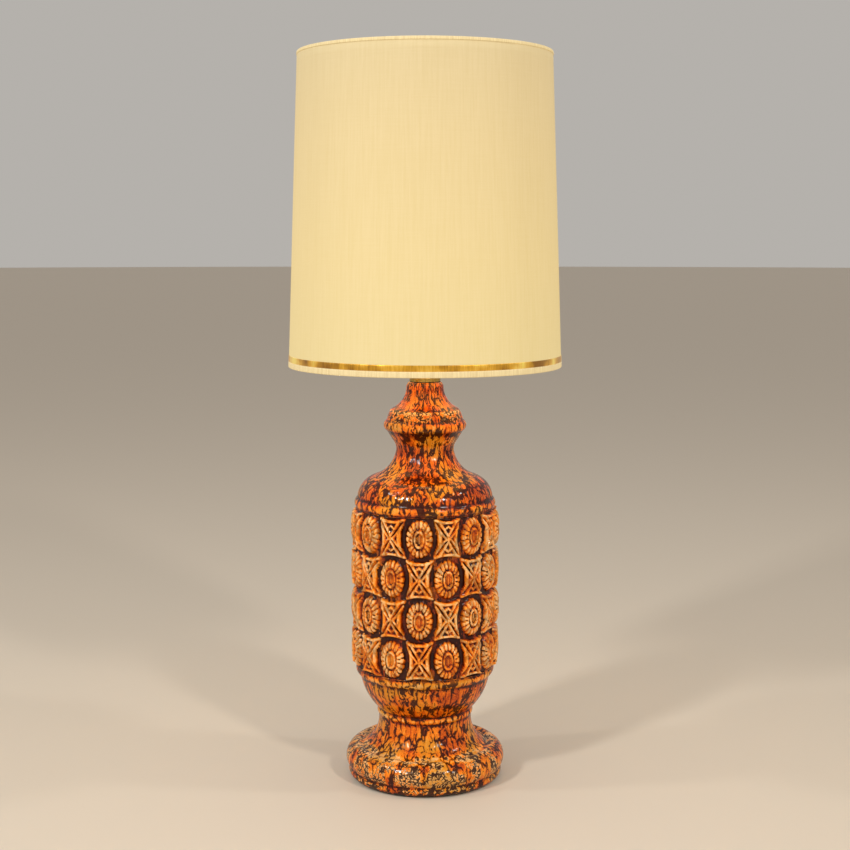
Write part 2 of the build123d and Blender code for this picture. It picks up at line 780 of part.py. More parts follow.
with BuildPart() as shade_lining:
    with BuildSketch(Plane.XZ):
        with BuildLine():
            Polyline(
                (shade_radius(cloth_bottom) - lining_inset, cloth_bottom),
                (shade_radius(cloth_bottom) - lining_inset + lining_thickness, cloth_bottom),
                (shade_radius(cloth_top) - lining_inset + lining_thickness, cloth_top),
                (shade_radius(cloth_top) - lining_inset, cloth_top),
                close=True,
            )
        make_face()
    revolve(axis=Axis.Z)
shade_lining.part.label = "shade_lining"
export_step(shade_lining.part, "parts/shade_lining.step")

with BuildPart() as shade_fabric:
    with BuildSketch(Plane.XZ):
        with BuildLine():
            Polyline(
                (shade_radius(cloth_bottom) - fabric_thickness, cloth_bottom),
                (shade_radius(cloth_bottom), cloth_bottom),
                (shade_radius(cloth_top), cloth_top),
                (shade_radius(cloth_top) - fabric_thickness, cloth_top),
                close=True,
            )
        make_face()
    revolve(axis=Axis.Z)
shade_fabric.part.label = "shade_fabric"
export_step(shade_fabric.part, "parts/shade_fabric.step")

with BuildPart() as bottom_hem:
    # Tape folded round the lower edge and its wire, notched where the arms pass.
    with BuildSketch(Plane.XZ):
        with BuildLine():
            tape_top = shade_bottom + bottom_tape_width
            leg_top = shade_bottom + inner_tape_width
            leg_radius = wire_ring_radius - wire_radius - glue_gap
            Polyline(
                (shade_radius(shade_bottom) + glue_gap + tape_thickness, shade_bottom),
                (shade_radius(tape_top) + glue_gap + tape_thickness, tape_top),
                (shade_radius(tape_top) + glue_gap, tape_top),
                (shade_radius(shade_bottom) + glue_gap, shade_bottom + tape_thickness),
                (leg_radius, shade_bottom + tape_thickness),
                (leg_radius, leg_top),
                (leg_radius - tape_thickness, leg_top),
                (leg_radius - tape_thickness, shade_bottom),
                close=True,
            )
        make_face()
    revolve(axis=Axis.Z)
    for arm_plane in arm_planes:
        with BuildSketch(arm_plane):
            Circle(arm_radius + slide_gap)
        extrude(amount=arm_length, mode=Mode.SUBTRACT)
bottom_hem.part.label = "bottom_hem"
export_step(bottom_hem.part, "parts/bottom_hem.step")

with BuildPart() as top_hem:
    with BuildSketch(Plane.XZ):
        with BuildLine():
            tape_bottom = shade_top - top_tape_width
            leg_bottom = shade_top - inner_tape_width
            leg_radius = shade_radius(top_wire_level) - wire_inset - wire_radius - glue_gap
            Polyline(
                (shade_radius(shade_top) + glue_gap + tape_thickness, shade_top),
                (shade_radius(tape_bottom) + glue_gap + tape_thickness, tape_bottom),
                (shade_radius(tape_bottom) + glue_gap, tape_bottom),
                (shade_radius(shade_top) + glue_gap, shade_top - tape_thickness),
                (leg_radius, shade_top - tape_thickness),
                (leg_radius, leg_bottom),
                (leg_radius - tape_thickness, leg_bottom),
                (leg_radius - tape_thickness, shade_top),
                close=True,
            )
        make_face()
    revolve(axis=Axis.Z)
top_hem.part.label = "top_hem"
export_step(top_hem.part, "parts/top_hem.step")

with BuildPart() as gold_band:
    with BuildSketch(Plane.XZ):
        with BuildLine():
            Polyline(
                (shade_radius(ribbon_bottom) + glue_gap, ribbon_bottom),
                (shade_radius(ribbon_bottom) + glue_gap + band_thickness, ribbon_bottom),
                (shade_radius(ribbon_top) + glue_gap + band_thickness, ribbon_top),
                (shade_radius(ribbon_top) + glue_gap, ribbon_top),
                close=True,
            )
        make_face()
    revolve(axis=Axis.Z)
gold_band.part.label = "gold_band"
export_step(gold_band.part, "parts/gold_band.step")

# ================================================================ bulb
with BuildPart() as bulb_glass:
    for inset in (0, glass_wall):
        with BuildSketch(Plane.XZ):
            with BuildLine():
                ball = bulb_radius - inset
                lean = math.radians(bulb_shoulder_angle)
                crown = (0, ball_centre + ball)
                side = (ball * math.cos(lean / 2), ball_centre + ball * math.sin(lean / 2))
                shoulder = (ball * math.cos(lean), ball_centre - ball * math.sin(lean))
                neck = (bulb_neck_radius - inset, bulb_cap_top + bulb_neck_height / 4)
                neck_pull = (neck[0], bulb_cap_top + bulb_neck_height)
                shoulder_pull = (neck[0], shoulder[1] - (shoulder[0] - neck[0]) / math.tan(lean))
                seat = (glass_neck_radius - inset, bulb_cap_top)
                seat_bottom = (glass_neck_radius - inset, glass_bottom)
                Polyline(crown, (0, glass_bottom), seat_bottom, seat, neck)
                Bezier(neck, neck_pull, shoulder_pull, shoulder)
                ThreePointArc(shoulder, side, crown)
            make_face()
        revolve(axis=Axis.Z, mode=Mode.ADD if inset == 0 else Mode.SUBTRACT)
bulb_glass.part.label = "bulb_glass"
export_step(bulb_glass.part, "parts/bulb_glass.step")

with BuildPart() as bulb_cap:
    with BuildSketch(Plane.XY.offset(bulb_cap_bottom)):
        Circle(cap_radius)
        Circle(cap_radius - cap_wall, mode=Mode.SUBTRACT)
    extrude(amount=cap_height)
bulb_cap.part.label = "bulb_cap"
export_step(bulb_cap.part, "parts/bulb_cap.step")

with BuildPart() as bulb_insulator:
    with BuildSketch(Plane.XZ):
        with BuildLine():
            Polyline(
                (0, bulb_bottom + contact_height),
                (contact_radius, bulb_bottom + contact_height),
                (cap_radius - cap_wall - glue_gap, bulb_cap_bottom),
                (cap_radius - cap_wall - glue_gap, bulb_bottom + insulator_height),
                (0, bulb_bottom + insulator_height),
                close=True,
            )
        make_face()
    revolve(axis=Axis.Z)
bulb_insulator.part.label = "bulb_insulator"
export_step(bulb_insulator.part, "parts/bulb_insulator.step")

with BuildPart() as bulb_contact:
    with BuildSketch(Plane.XY.offset(bulb_bottom)):
        Circle(contact_radius)
    extrude(amount=contact_height)
    fillet(bulb_contact.faces().sort_by(Axis.Z)[0].edges(), contact_height / 2)
bulb_contact.part.label = "bulb_contact"
export_step(bulb_contact.part, "parts/bulb_contact.step")

with BuildPart() as bulb_stem:
    # Glass stem whose flare is melted to the inside of the neck.
    with BuildSketch(Plane.XZ):
        with BuildLine():
            flare = (glass_neck_radius - glass_wall - glue_gap, glass_bottom)
            stem_waist = (bulb_stem_radius, glass_bottom + bulb_stem_height / 2)
            Polyline((0, glass_bottom), flare)
            ThreePointArc(flare, outward(flare, stem_waist, -bulb_stem_radius / 2), stem_waist)
            Polyline(stem_waist, (bulb_stem_radius, bulb_stem_top), (0, bulb_stem_top), (0, glass_bottom))
        make_face()
    revolve(axis=Axis.Z)
bulb_stem.part.label = "bulb_stem"
export_step(bulb_stem.part, "parts/bulb_stem.step")

with BuildPart() as bulb_filament:
    # Two leads rise from the stem and carry the filament between their tips.
    filament_level = bulb_stem_top + filament_rise
    for side in (-1, 1):
        lead_root = Vector(side * (bulb_stem_radius - lead_radius), 0, bulb_stem_top + lead_radius)
        lead_tip = Vector(side * filament_width / 2, 0, filament_level)
        with BuildSketch(Plane(origin=lead_root, z_dir=lead_tip - lead_root)):
            Circle(lead_radius)
        extrude(amount=(lead_tip - lead_root).length)
    with BuildSketch(Plane.YZ.offset(-filament_width / 2 - lead_radius)):
        with Locations((0, filament_level)):
            Circle(filament_radius)
    extrude(amount=filament_width + 2 * lead_radius)
bulb_filament.part.label = "bulb_filament"
export_step(bulb_filament.part, "parts/bulb_filament.step")
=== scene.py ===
# %% [markdown]
# # A glazed ceramic table lamp with a tall drum shade
#
# The lamp is a hollow casting of glazed earthenware, with a screw lampholder on its neck and a fabric shade that a
# threaded ring clamps to the holder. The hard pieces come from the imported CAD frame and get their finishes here. The
# pieces whose looks need more than a plain solid are modelled again in their place: the casting with its moulded
# relief, the felt, the cloth of the shade with its tape and ribbon, and the threaded parts.

import math

import bpy
import numpy as np
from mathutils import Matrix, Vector


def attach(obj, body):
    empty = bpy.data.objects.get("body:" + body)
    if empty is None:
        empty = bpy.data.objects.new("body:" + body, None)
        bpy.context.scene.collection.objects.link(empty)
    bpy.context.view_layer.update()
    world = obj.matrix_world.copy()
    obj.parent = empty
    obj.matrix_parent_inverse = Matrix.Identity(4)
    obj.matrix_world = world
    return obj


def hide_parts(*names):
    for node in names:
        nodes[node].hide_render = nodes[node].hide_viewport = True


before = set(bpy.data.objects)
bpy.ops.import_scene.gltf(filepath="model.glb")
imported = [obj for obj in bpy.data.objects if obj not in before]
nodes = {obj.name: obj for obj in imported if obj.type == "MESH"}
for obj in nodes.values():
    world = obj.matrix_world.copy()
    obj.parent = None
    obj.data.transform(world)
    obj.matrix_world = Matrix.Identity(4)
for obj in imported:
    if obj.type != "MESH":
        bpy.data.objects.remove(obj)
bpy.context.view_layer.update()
MM = 0.001
print("CAD nodes:", len(nodes))

# %% [markdown]
# Almost everything here is round about the lamp's axis, so it is turned, as on a potter's wheel. An outline is drawn
# as by hand, one vertex extruded from point to point, and the chain is spun round the axis. An operator acts on all
# that is selected, so everything is deselected first. Curved stretches of an outline are arcs, given by how far they
# stand off their chord, and a sharp corner is eased with two points, because no glazed or moulded edge is a knife.


# %% Drawing and turning an outline
def deselect():
    if bpy.context.object and bpy.context.object.mode != "OBJECT":
        bpy.ops.object.mode_set(mode="OBJECT")
    bpy.ops.object.select_all(action="DESELECT")


def arc_points(start, end, bow, steps):
    """Points after start, up to end, on an arc that stands off its chord by bow, to the right of the way."""
    run, rise = end[0] - start[0], end[1] - start[1]
    chord = math.hypot(run, rise)
    half_angle = 2 * math.atan2(2 * abs(bow), chord)
    points = []
    for step in range(1, steps + 1):
        along, off = step / steps * chord, 0.0
        if bow:
            radius = chord / (2 * math.sin(half_angle))
            turn = half_angle * (2 * step / steps - 1)
            along = chord / 2 + radius * math.sin(turn)
            off = math.copysign(radius * (math.cos(turn) - math.cos(half_angle)), bow)
        points.append((start[0] + (along * run + off * rise) / chord, start[1] + (along * rise - off * run) / chord))
    return points


def outline(first, *stretches):
    """Chain of (radius, height) points, from stretches of (radius, height, bow, steps)."""
    points = [first]
    for radius, height, bow, steps in stretches:
        points += arc_points(points[-1], (radius, height), bow, steps)
    return points


def eased(points, ease):
    """The same closed outline with two points in place of each sharp corner."""
    result = []
    for number, point in enumerate(points):
        here = Vector(point)
        back = Vector(points[number - 1]) - here
        on = Vector(points[(number + 1) % len(points)]) - here
        if back.angle(on) > math.radians(150):
            result.append(point)
            continue
        for way in (back, on):
            result.append(tuple(here + way.normalized() * min(ease, way.length * 0.35)))
    return result


def turned(name, points, steps):
    """A closed outline in millimetres, spun round the lamp's axis into a solid."""
    deselect()
    bpy.ops.mesh.primitive_plane_add(size=MM, location=(0, 0, 0))
    piece = bpy.context.object
    piece.name = piece.data.name = name
    bpy.ops.object.mode_set(mode="EDIT")
    bpy.ops.mesh.select_mode(type="VERT")
    bpy.ops.mesh.select_all(action="SELECT")
    bpy.ops.mesh.merge(type="CENTER")
    bpy.ops.transform.translate(value=(points[0][0] * MM, 0, points[0][1] * MM))
    for before, after in zip(points, points[1:] + points[:1]):
        move = ((after[0] - before[0]) * MM, 0, (after[1] - before[1]) * MM)
        bpy.ops.mesh.extrude_region_move(TRANSFORM_OT_translate={"value": move})
    bpy.ops.mesh.select_all(action="SELECT")
    bpy.ops.mesh.remove_doubles(threshold=0.005 * MM)
    bpy.ops.mesh.select_all(action="SELECT")
    bpy.ops.mesh.spin(steps=steps, angle=2 * math.pi, center=(0, 0, 0), axis=(0, 0, 1))
    bpy.ops.mesh.select_all(action="SELECT")
    bpy.ops.mesh.remove_doubles(threshold=0.005 * MM)
    bpy.ops.mesh.delete_loose()
    bpy.ops.mesh.select_all(action="SELECT")
    bpy.ops.mesh.normals_make_consistent(inside=False)
    bpy.ops.object.mode_set(mode="OBJECT")
    bpy.ops.object.shade_smooth()
    return piece


def positions(piece):
    """Vertex positions in millimetres, as an array of rows."""
    values = np.zeros(len(piece.data.vertices) * 3)
    piece.data.vertices.foreach_get("co", values)
    return values.reshape(-1, 3) / MM


def move_vertices(piece, values):
    piece.data.vertices.foreach_set("co", (values * MM).ravel())
    piece.data.update()


def write_attribute(piece, name, values):
    """A number or a vector for each vertex, which a material can read by its name."""
    kind, key = ("FLOAT", "value") if values.ndim == 1 else ("FLOAT_VECTOR", "vector")
    attribute = piece.data.attributes.new(name, kind, "POINT")
    attribute.data.foreach_set(key, values.astype(np.float32).ravel())


def settle(piece, body, material):
    """A finished piece gets its material and the body that it rides on."""
    piece.data.materials.clear()
    piece.data.materials.append(material)
    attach(piece, body)
    piece.data.calc_loop_triangles()
    print(piece.name, "triangles:", len(piece.data.loop_triangles))


# %% [markdown]
# A material is a tree of nodes. One function turns an sRGB hex colour into the linear values that Blender stores, and
# another adds a node with its settings and links. Patterns are measured in millimetres: the object coordinates are
# metres, so they are scaled by a thousand once, at the start of each material.
#
# Inputs without a name go by number. A Math node has its terms at 0, 1 and 2. A MapRange reads its value at 0, from the
# range 1 to 2, and writes it to the range 3 to 4. A Mix has its share at 0, and its ends at 2 and 3, or at 6 and 7 for
# colours.


# %% Making a material
def colour(code):
    """Linear RGBA of an sRGB hex colour."""
    values = [int(code[start : start + 2], 16) / 255 for start in (1, 3, 5)]
    return [v / 12.92 if v <= 0.04045 else ((v + 0.055) / 1.055) ** 2.4 for v in values] + [1.0]


def add(tree, kind, inputs=None, out=0, stops=(), **settings):
    """Add a node and give one of its outputs. An input gets a value, or the output that it is linked from.

    Stops are the places and hex colours of a colour ramp.
    """
    node = tree.nodes.new("ShaderNode" + kind)
    for key, value in settings.items():
        setattr(node, key, value)
    for key, value in (inputs or {}).items():
        if isinstance(value, bpy.types.NodeSocket):
            tree.links.new(value, node.inputs[key])
        else:
            node.inputs[key].default_value = value
    for number, (place, code) in enumerate(stops):
        if number > 1:
            node.color_ramp.elements.new(place)
        node.color_ramp.elements[number].position = place
        node.color_ramp.elements[number].color = colour(code)
    return node.outputs[out]


def finish(name, sockets):
    """A new material with its tree, its shader and its coordinates in millimetres."""
    material = bpy.data.materials.new(name)
    material.use_nodes = True
    tree = material.node_tree
    shader = tree.nodes["Principled BSDF"]
    for socket, value in sockets.items():
        shader.inputs[socket].default_value = colour(value) if isinstance(value, str) else value
    where = add(tree, "TexCoord", out="Object")
    place = add(tree, "VectorMath", {0: where, "Scale": 1 / MM}, operation="SCALE")
    return material, tree, shader, place


# %% [markdown]
# ## Floor, light and camera
#
# The lamp stands on a pale floor in soft daylight, and it is switched on. Two soft lights stand in for windows in
# front, and two smaller ones for panes at the sides, so that the glaze has small, crisp things to reflect. The camera
# stands a good step away and looks slightly down.

# %% Floor
scene = bpy.context.scene
scene.view_settings.view_transform = "Standard"

deselect()
bpy.ops.mesh.primitive_circle_add(vertices=96, radius=30, fill_type="NGON", location=(0, 0, 0))
floor = bpy.context.object
floor.name = "floor"
# Matt paint on a smooth board: rolled on, it scatters light evenly, so it looks flat and soft-edged in every light.
floor_paint, _, _, _ = finish("matt_floor_paint", {"Base Color": "#DACDBC", "Roughness": 0.6})
floor.data.materials.append(floor_paint)

world = bpy.data.worlds.new("soft_room")
world.use_nodes = True
scene.world = world
sky = world.node_tree.nodes["Background"]
sky.inputs["Color"].default_value = colour("#F6F1EA")
sky.inputs["Strength"].default_value = 0.5


# %% Lights and camera
def soft_light(name, place, aim, width, height, power, tint):
    """A soft rectangular light that faces a point."""
    data = bpy.data.lights.new(name, "AREA")
    data.shape = "RECTANGLE"
    data.size, data.size_y = width, height
    data.energy = power
    data.color = colour(tint)[:3]
    light = bpy.data.objects.new(name, data)
    scene.collection.objects.link(light)
    light.location = place
    light.rotation_euler = (Vector(aim) - Vector(place)).to_track_quat("-Z", "Y").to_euler()


LAMP_MIDDLE = (0, 0, 0.35)
soft_light("window_left", (-1.47, -1.63, 1.8), LAMP_MIDDLE, 0.22, 0.4, 28, "#FFFDF8")
soft_light("window_right", (1.23, -1.82, 1.7), LAMP_MIDDLE, 0.2, 0.34, 21, "#FFF8EE")
soft_light("pane_left", (-1.95, -0.4, 2.2), LAMP_MIDDLE, 0.17, 0.2, 9, "#FFFDF8")
soft_light("pane_right", (1.95, -0.3, 2.2), LAMP_MIDDLE, 0.17, 0.2, 9, "#FFFDF8")

camera_data = bpy.data.cameras.new("camera")
CAMERA_PITCH = 7.2  # degrees below level
camera_data.lens = 62.7
camera_data.sensor_width = 36
camera = bpy.data.objects.new("camera", camera_data)
scene.collection.objects.link(camera)
camera.location = (0, -1.62, 0.601)
camera.rotation_euler = (math.radians(90 - CAMERA_PITCH), 0, 0)
scene.camera = camera
print("camera distance:", round(camera.location.length, 2), "m")

# %% [markdown]
# ## The casting
#
# The body was slip-cast in a mould: a low swollen foot, a waisted stem, a bowl, a drum with four rows of moulded
# tiles, a domed shoulder and a slender neck with a roll collar. Its outline is turned in one piece, with the recess
# under the foot and the hole for the tube. The drum needs far finer faces than the rest, so its band is subdivided
# once before the relief is raised. The levels are those of the CAD body, in millimetres.

# %% Outline of the casting
RECESS_TOP = 24.0
RELIEF_LOW, RELIEF_HIGH = 128.0, 306.0
GROUND = 77.0
TILE_ROWS, TILE_COLUMNS = 4, 16
FIRST_COLUMN = math.radians(-4.5)
ROW_HEIGHT = (RELIEF_HIGH - RELIEF_LOW) / TILE_ROWS
GLAZED_EASE = 0.7
CASTING_STEPS = 240

casting_outline = outline(
    (5.6, RECESS_TOP),
    (66.0, RECESS_TOP, 0, 3),
    (66.0, 1.5, 0, 2),
    (82.0, 1.5, 0, 1),
    (84.5, 11.0, 2.6, 6),
    (75.0, 37.5, 8.7, 12),
    (70.5, 35.5, 0, 1),
    (52.2, 71.5, -6.5, 11),
    (52.2, 78.5, 1.5, 5),
    (72.5, 117.0, 3.6, 10),
    (76.0, RELIEF_LOW, 2.8, 7),
    (GROUND, RELIEF_LOW, 0, 1),
    (GROUND, RELIEF_HIGH, 0, 66),
    (76.0, RELIEF_HIGH, 0, 1),
    (75.0, 317.0, 2.6, 7),
    (58.0, 340.0, 4.2, 8),
    (31.8, 369.0, -5.6, 11),
    (34.9, 379.6, -1.0, 4),
    (35.9, 380.9, 0, 1),
    (42.0, 391.0, 0, 2),
    (42.0, 403.0, 3.6, 7),
    (38.2, 413.5, 0.4, 3),
    (36.7, 415.0, 0, 1),
    (20.3, 440.5, -4.6, 9),
    (18.5, 444.5, 0, 1),
    (5.6, 444.5, 0, 2),
    (5.6, 432.5, 0, 1),
)
casting = turned("casting", eased(casting_outline, GLAZED_EASE), CASTING_STEPS)

# %% [markdown]
# The cord left the lamp through a hole in the back of the foot, lined by a rubber grommet whose flange sits in a
# shallow seat. A drill did both while the clay was leather-hard. Here two round bars are cut out of the casting.


# %% Cord hole and its seat
def cut_away(piece, cutter):
    """Cut the shape of one piece out of another, and drop it."""
    cut = piece.modifiers.new("cut", "BOOLEAN")
    cut.operation = "DIFFERENCE"
    cut.object = cutter
    deselect()
    bpy.context.view_layer.objects.active = piece
    bpy.ops.object.modifier_apply(modifier=cut.name)
    bpy.data.objects.remove(cutter)


HOLE_LEVEL = 14.0
CORD_HOLE, GROMMET_SEAT = (4.5, 60.0, 84.4), (7.0, 84.3, 90.0)  # radius, and from where to where off the axis
for hole_radius, from_axis, to_axis in (CORD_HOLE, GROMMET_SEAT):
    deselect()
    bpy.ops.mesh.primitive_cylinder_add(
        vertices=48, radius=hole_radius * MM, depth=(to_axis - from_axis) * MM,
        location=(0, (from_axis + to_axis) / 2 * MM, HOLE_LEVEL * MM), rotation=(math.pi / 2, 0, 0),
    )
    cut_away(casting, bpy.context.object)
print("casting with its hole:", len(casting.data.vertices), "vertices")

# %% Finer faces on the drum
bpy.ops.object.mode_set(mode="EDIT")
bpy.ops.mesh.select_mode(type="FACE")
bpy.ops.mesh.select_all(action="DESELECT")
bpy.ops.object.mode_set(mode="OBJECT")
for face in casting.data.polygons:
    middle = face.center / MM
    face.select = RELIEF_LOW < middle.z < RELIEF_HIGH and math.hypot(middle.x, middle.y) > GROUND - 2
bpy.ops.object.mode_set(mode="EDIT")
bpy.ops.mesh.subdivide(number_cuts=1)
bpy.ops.object.mode_set(mode="OBJECT")
print("casting faces:", len(casting.data.polygons))

# %% [markdown]
# ## The moulded tiles
#
# Rosettes and four-cornered pillows take turns round the drum and up it. A rosette is a ring of petals round an oval
# boss with a thin rim. A pillow has a double ridge from each corner to a bead in the middle, a lip along its edges and
# a leaf in its left and right fields. Each tile is a height in millimetres over its own flat place, made from a few
# soft steps and ridges, and the drum's vertices are moved out by it, as the mould pushed the clay.


# %% Height of the tiles
def step_up(value, low, high):
    """0 below low, 1 above high, and a smooth rise between."""
    share = np.clip((value - low) / (high - low), 0, 1)
    return share * share * (3 - 2 * share)


def ridge(distance, half_width):
    """1 on a line, falling in a round back to 0 at half_width from it."""
    return np.sqrt(np.clip(1 - (distance / half_width) ** 2, 0, 1))


PETALS = 18
BOSS_WIDE, BOSS_HIGH = 5.5, 9.9
CORNER_SIDE, CORNER_END = 15, 21  # where a pillow's corners point, from its middle
PILLOW_PLATE = 1.9
TILE_FLOOR = -1.6  # height of the ground between the tiles, under the drum's nominal radius


def rosette(across, up):
    wide, high = 15.7, 21.4
    reach = np.hypot(across / wide, up / high)
    turn = np.arctan2(up / high, across / wide)
    lobe = np.abs(np.cos(turn * PETALS / 2))
    end = 0.94 + 0.06 * lobe**0.6
    crown = 5.2 - 2.6 * step_up(reach, 0.5, 1.0)
    groove = 3.0 * (1 - step_up(lobe, 0.0, 0.55)) * step_up(reach, 0.46, 0.58)
    petals = TILE_FLOOR + (crown - groove - TILE_FLOOR) * (1 - step_up(reach, end - 0.17, end + 0.02)) ** 0.75
    boss = np.hypot(across / BOSS_WIDE, up / BOSS_HIGH)
    moat = 2.4 * ridge(boss - 1.15, 0.17)
    grain = 0.8 * np.sin(across * 2.6 + 1.3 * np.sin(up * 2.1)) * np.sin(up * 2.4 + np.sin(across * 2.8))
    centre = (3.3 + grain) * (1 - step_up(boss, 0.64, 0.76)) + 5.8 * ridge(boss - 0.87, 0.19)
    return np.where(boss < 1.06, np.maximum(centre, 2.2), petals - moat)


def pillow(across, up):
    side, end = np.abs(across), np.abs(up)
    side_in = 11.6 + 4.0 * (end / 20) ** 2 - side
    end_in = 19.6 + 2.2 * (side / 14) ** 2 - end
    inside = np.minimum(side_in, end_in)
    length = math.hypot(CORNER_SIDE, CORNER_END)
    from_diagonal = np.abs(side * CORNER_END - end * CORNER_SIDE) / length
    along = (side * CORNER_SIDE + end * CORNER_END) / length
    lip = 4.5 * ridge(end_in - 1.9, 2.0)
    twin = (5.6 - 0.05 * along) * ridge(from_diagonal - 1.35 - 0.085 * along, 1.75)
    bead = 5.6 * ridge(np.hypot(across, up), 2.6)
    leaf = 5.2 * ridge(side - 8.5 - 0.013 * up**2, 2.4) * ridge(up, 13.5) ** 0.6
    chevron = 4.6 * ridge(end - 13.4 + 0.8 * side, 1.9) * (1 - step_up(side, 3.4, 5.4))
    raised = np.maximum.reduce([np.full_like(side, PILLOW_PLATE), lip, twin, bead, leaf, chevron])
    raised -= 2.4 * ridge(from_diagonal, 0.95) * step_up(along, 2.6, 4.0)
    return TILE_FLOOR + (raised - TILE_FLOOR) * step_up(inside, -0.9, 1.9) ** 0.75


def relief(angle, level):
    """Height of the relief over the ground at an angle from the front and a level."""
    row = np.clip(np.floor((RELIEF_HIGH - level) / ROW_HEIGHT), 0, TILE_ROWS - 1)
    pitch = 2 * math.pi / TILE_COLUMNS
    column = np.round((angle - FIRST_COLUMN) / pitch)
    across = (angle - FIRST_COLUMN - column * pitch) * (GROUND + 3)
    up = level - (RELIEF_HIGH - (row + 0.5) * ROW_HEIGHT)
    height = np.where((row + column) % 2 == 0, rosette(across, up), pillow(across, up))
    edge = np.minimum(level - RELIEF_LOW, RELIEF_HIGH - level)
    return np.where(edge < 0, 0, TILE_FLOOR + (height - TILE_FLOOR) * step_up(edge, 0.2, 2.0)) * step_up(edge, 0, 0.6)


# %% Raise the relief
places = positions(casting)
level = places[:, 2]
radius = np.hypot(places[:, 0], places[:, 1])
angle = np.arctan2(places[:, 0], -places[:, 1])
on_drum = (level > RELIEF_LOW - 0.01) & (level < RELIEF_HIGH + 0.01) & (radius > GROUND - 0.9)
height = np.where(on_drum, relief(angle, level), 0.0)
away = np.where(on_drum, (GROUND + height) / radius, 1.0)
places[:, 0] *= away
places[:, 1] *= away
move_vertices(casting, places)
print("relief from", round(height.min(), 2), "to", round(height.max(), 2), "mm")

# %% [markdown]
# Runny glaze pulls away from crests, which fire pale, and pools in grooves, which go dark. The same number also
# paints light: a painted highlight on crests and a painted shade in grooves and recesses. So each vertex keeps how far
# it stands above or below the places a few millimetres round it. On the plain stretches the same number comes from a
# list of rims, grooves and broad bands, each with its level, its width and how light or dark it is: partly glaze that
# broke or pooled, partly a painted highlight on a rim and painted shade in a groove or at the foot's bottom edge. Two
# more numbers say where the glaze broke into fine drops, and where the drum is.
#
# The runs of glaze have a space of their own, kept as a vector. Round the axis it is squeezed, so that runs are slender
# on the neck and broad on the drum. Along the wall it is stretched fivefold, and the radius is taken off the level, so
# that a run also follows a slope.

# %% Crests and pools, with painted highlight and shade
around = np.zeros_like(height)
for reach in (1.6, 3.2):
    for number in range(8):
        turn = number * math.pi / 4
        around += relief(angle + reach * math.cos(turn) / GROUND, level + reach * math.sin(turn)) / 16
# Light where a vertex stands above its surroundings, dark where it sits below: partly glaze that broke or pooled,
# partly a painted highlight on crests and painted shade in recesses.
crest_and_painted_light = np.where(on_drum, 0.25 + (height - around) / 1.1 + np.minimum(height - 2.4, 0) / 4.0, 0.0)
# Level, width and lightness of each band: partly glaze, partly a painted highlight on a rim, or painted shade in a
# groove and at the foot's bottom edge.
rims = [
    (2.5, 3.5, -0.8), (7.5, 2.0, 0.1), (45.0, 9.0, -0.1), (60.0, 9.0, 0.25), (11.0, 1.6, -0.9),
    (24.0, 7.0, 0.15), (36.8, 1.6, 0.9), (35.0, 1.2, -0.6),
    (70.8, 1.4, -0.8), (75.0, 2.2, 0.8), (79.0, 1.4, -0.9), (117.0, 1.3, -0.9), (122.0, 3.0, 0.5),
    (127.6, 1.6, -0.9), (306.4, 1.6, -0.9), (311.5, 3.0, 0.4), (317.0, 1.4, -0.9), (336.0, 16.0, -0.38),
    (369.0, 5.0, -0.35), (380.5, 1.8, 0.35), (391.0, 1.4, -0.9), (397.0, 4.0, 0.5), (403.0, 1.3, -0.9),
    (404.8, 1.0, 0.7), (413.4, 1.1, 0.9), (415.6, 1.3, -0.9), (430.0, 9.0, -0.25), (443.0, 1.5, -0.7),
]
for rim_level, width, light in rims:
    crest_and_painted_light += np.where(on_drum, 0, light * np.exp(-(((level - rim_level) / width) ** 2)))
write_attribute(casting, "crest_and_painted_light", np.clip(crest_and_painted_light, -1, 1))
fine = np.maximum(1 - step_up(level, 34, 46), step_up(level, 401, 404) * (1 - step_up(level, 414, 417)))
write_attribute(casting, "fine", fine)
write_attribute(casting, "drum", step_up(level, 122, 130) * (1 - step_up(level, 304, 310)))
LEAST_GIRTH, GIRTH_SHARE, RUN_STRETCH = 25, 0.4, 0.2
squeeze = (LEAST_GIRTH + GIRTH_SHARE * radius) / radius
round_axis = places[:, :2] / away[:, None] * squeeze[:, None]
down_wall = (level - radius) * RUN_STRETCH
write_attribute(casting, "drip", np.column_stack((round_axis, down_wall)))
print("crest from", round(crest_and_painted_light.min(), 2), "to", round(crest_and_painted_light.max(), 2))

# %% [markdown]
# ## The glaze
#
# This is a runny orange glaze over a dark one. In the kiln the orange crawled into drops and islands, and the dark one
# shows between them as a net of crooked lines and pools. A Voronoi texture gives the net: its distance to a cell's edge
# is small on the lines. Its space is warped by noise, and drawn out down the walls, where the glaze ran. The foot and
# the neck's band have patches of a finer net, whose drops have pale rims, partly painted highlights on their edges.
# One number carries the tone of the orange through a colour ramp, from deep red to peach: crests are pale, partly as a
# painted highlight, the dark pools are partly painted shade in the recesses, and broad clouds and long runs change it
# slowly. The net is raised a little by a bump, so that each drop has its own highlight, and a clear coat makes it a
# glass skin.

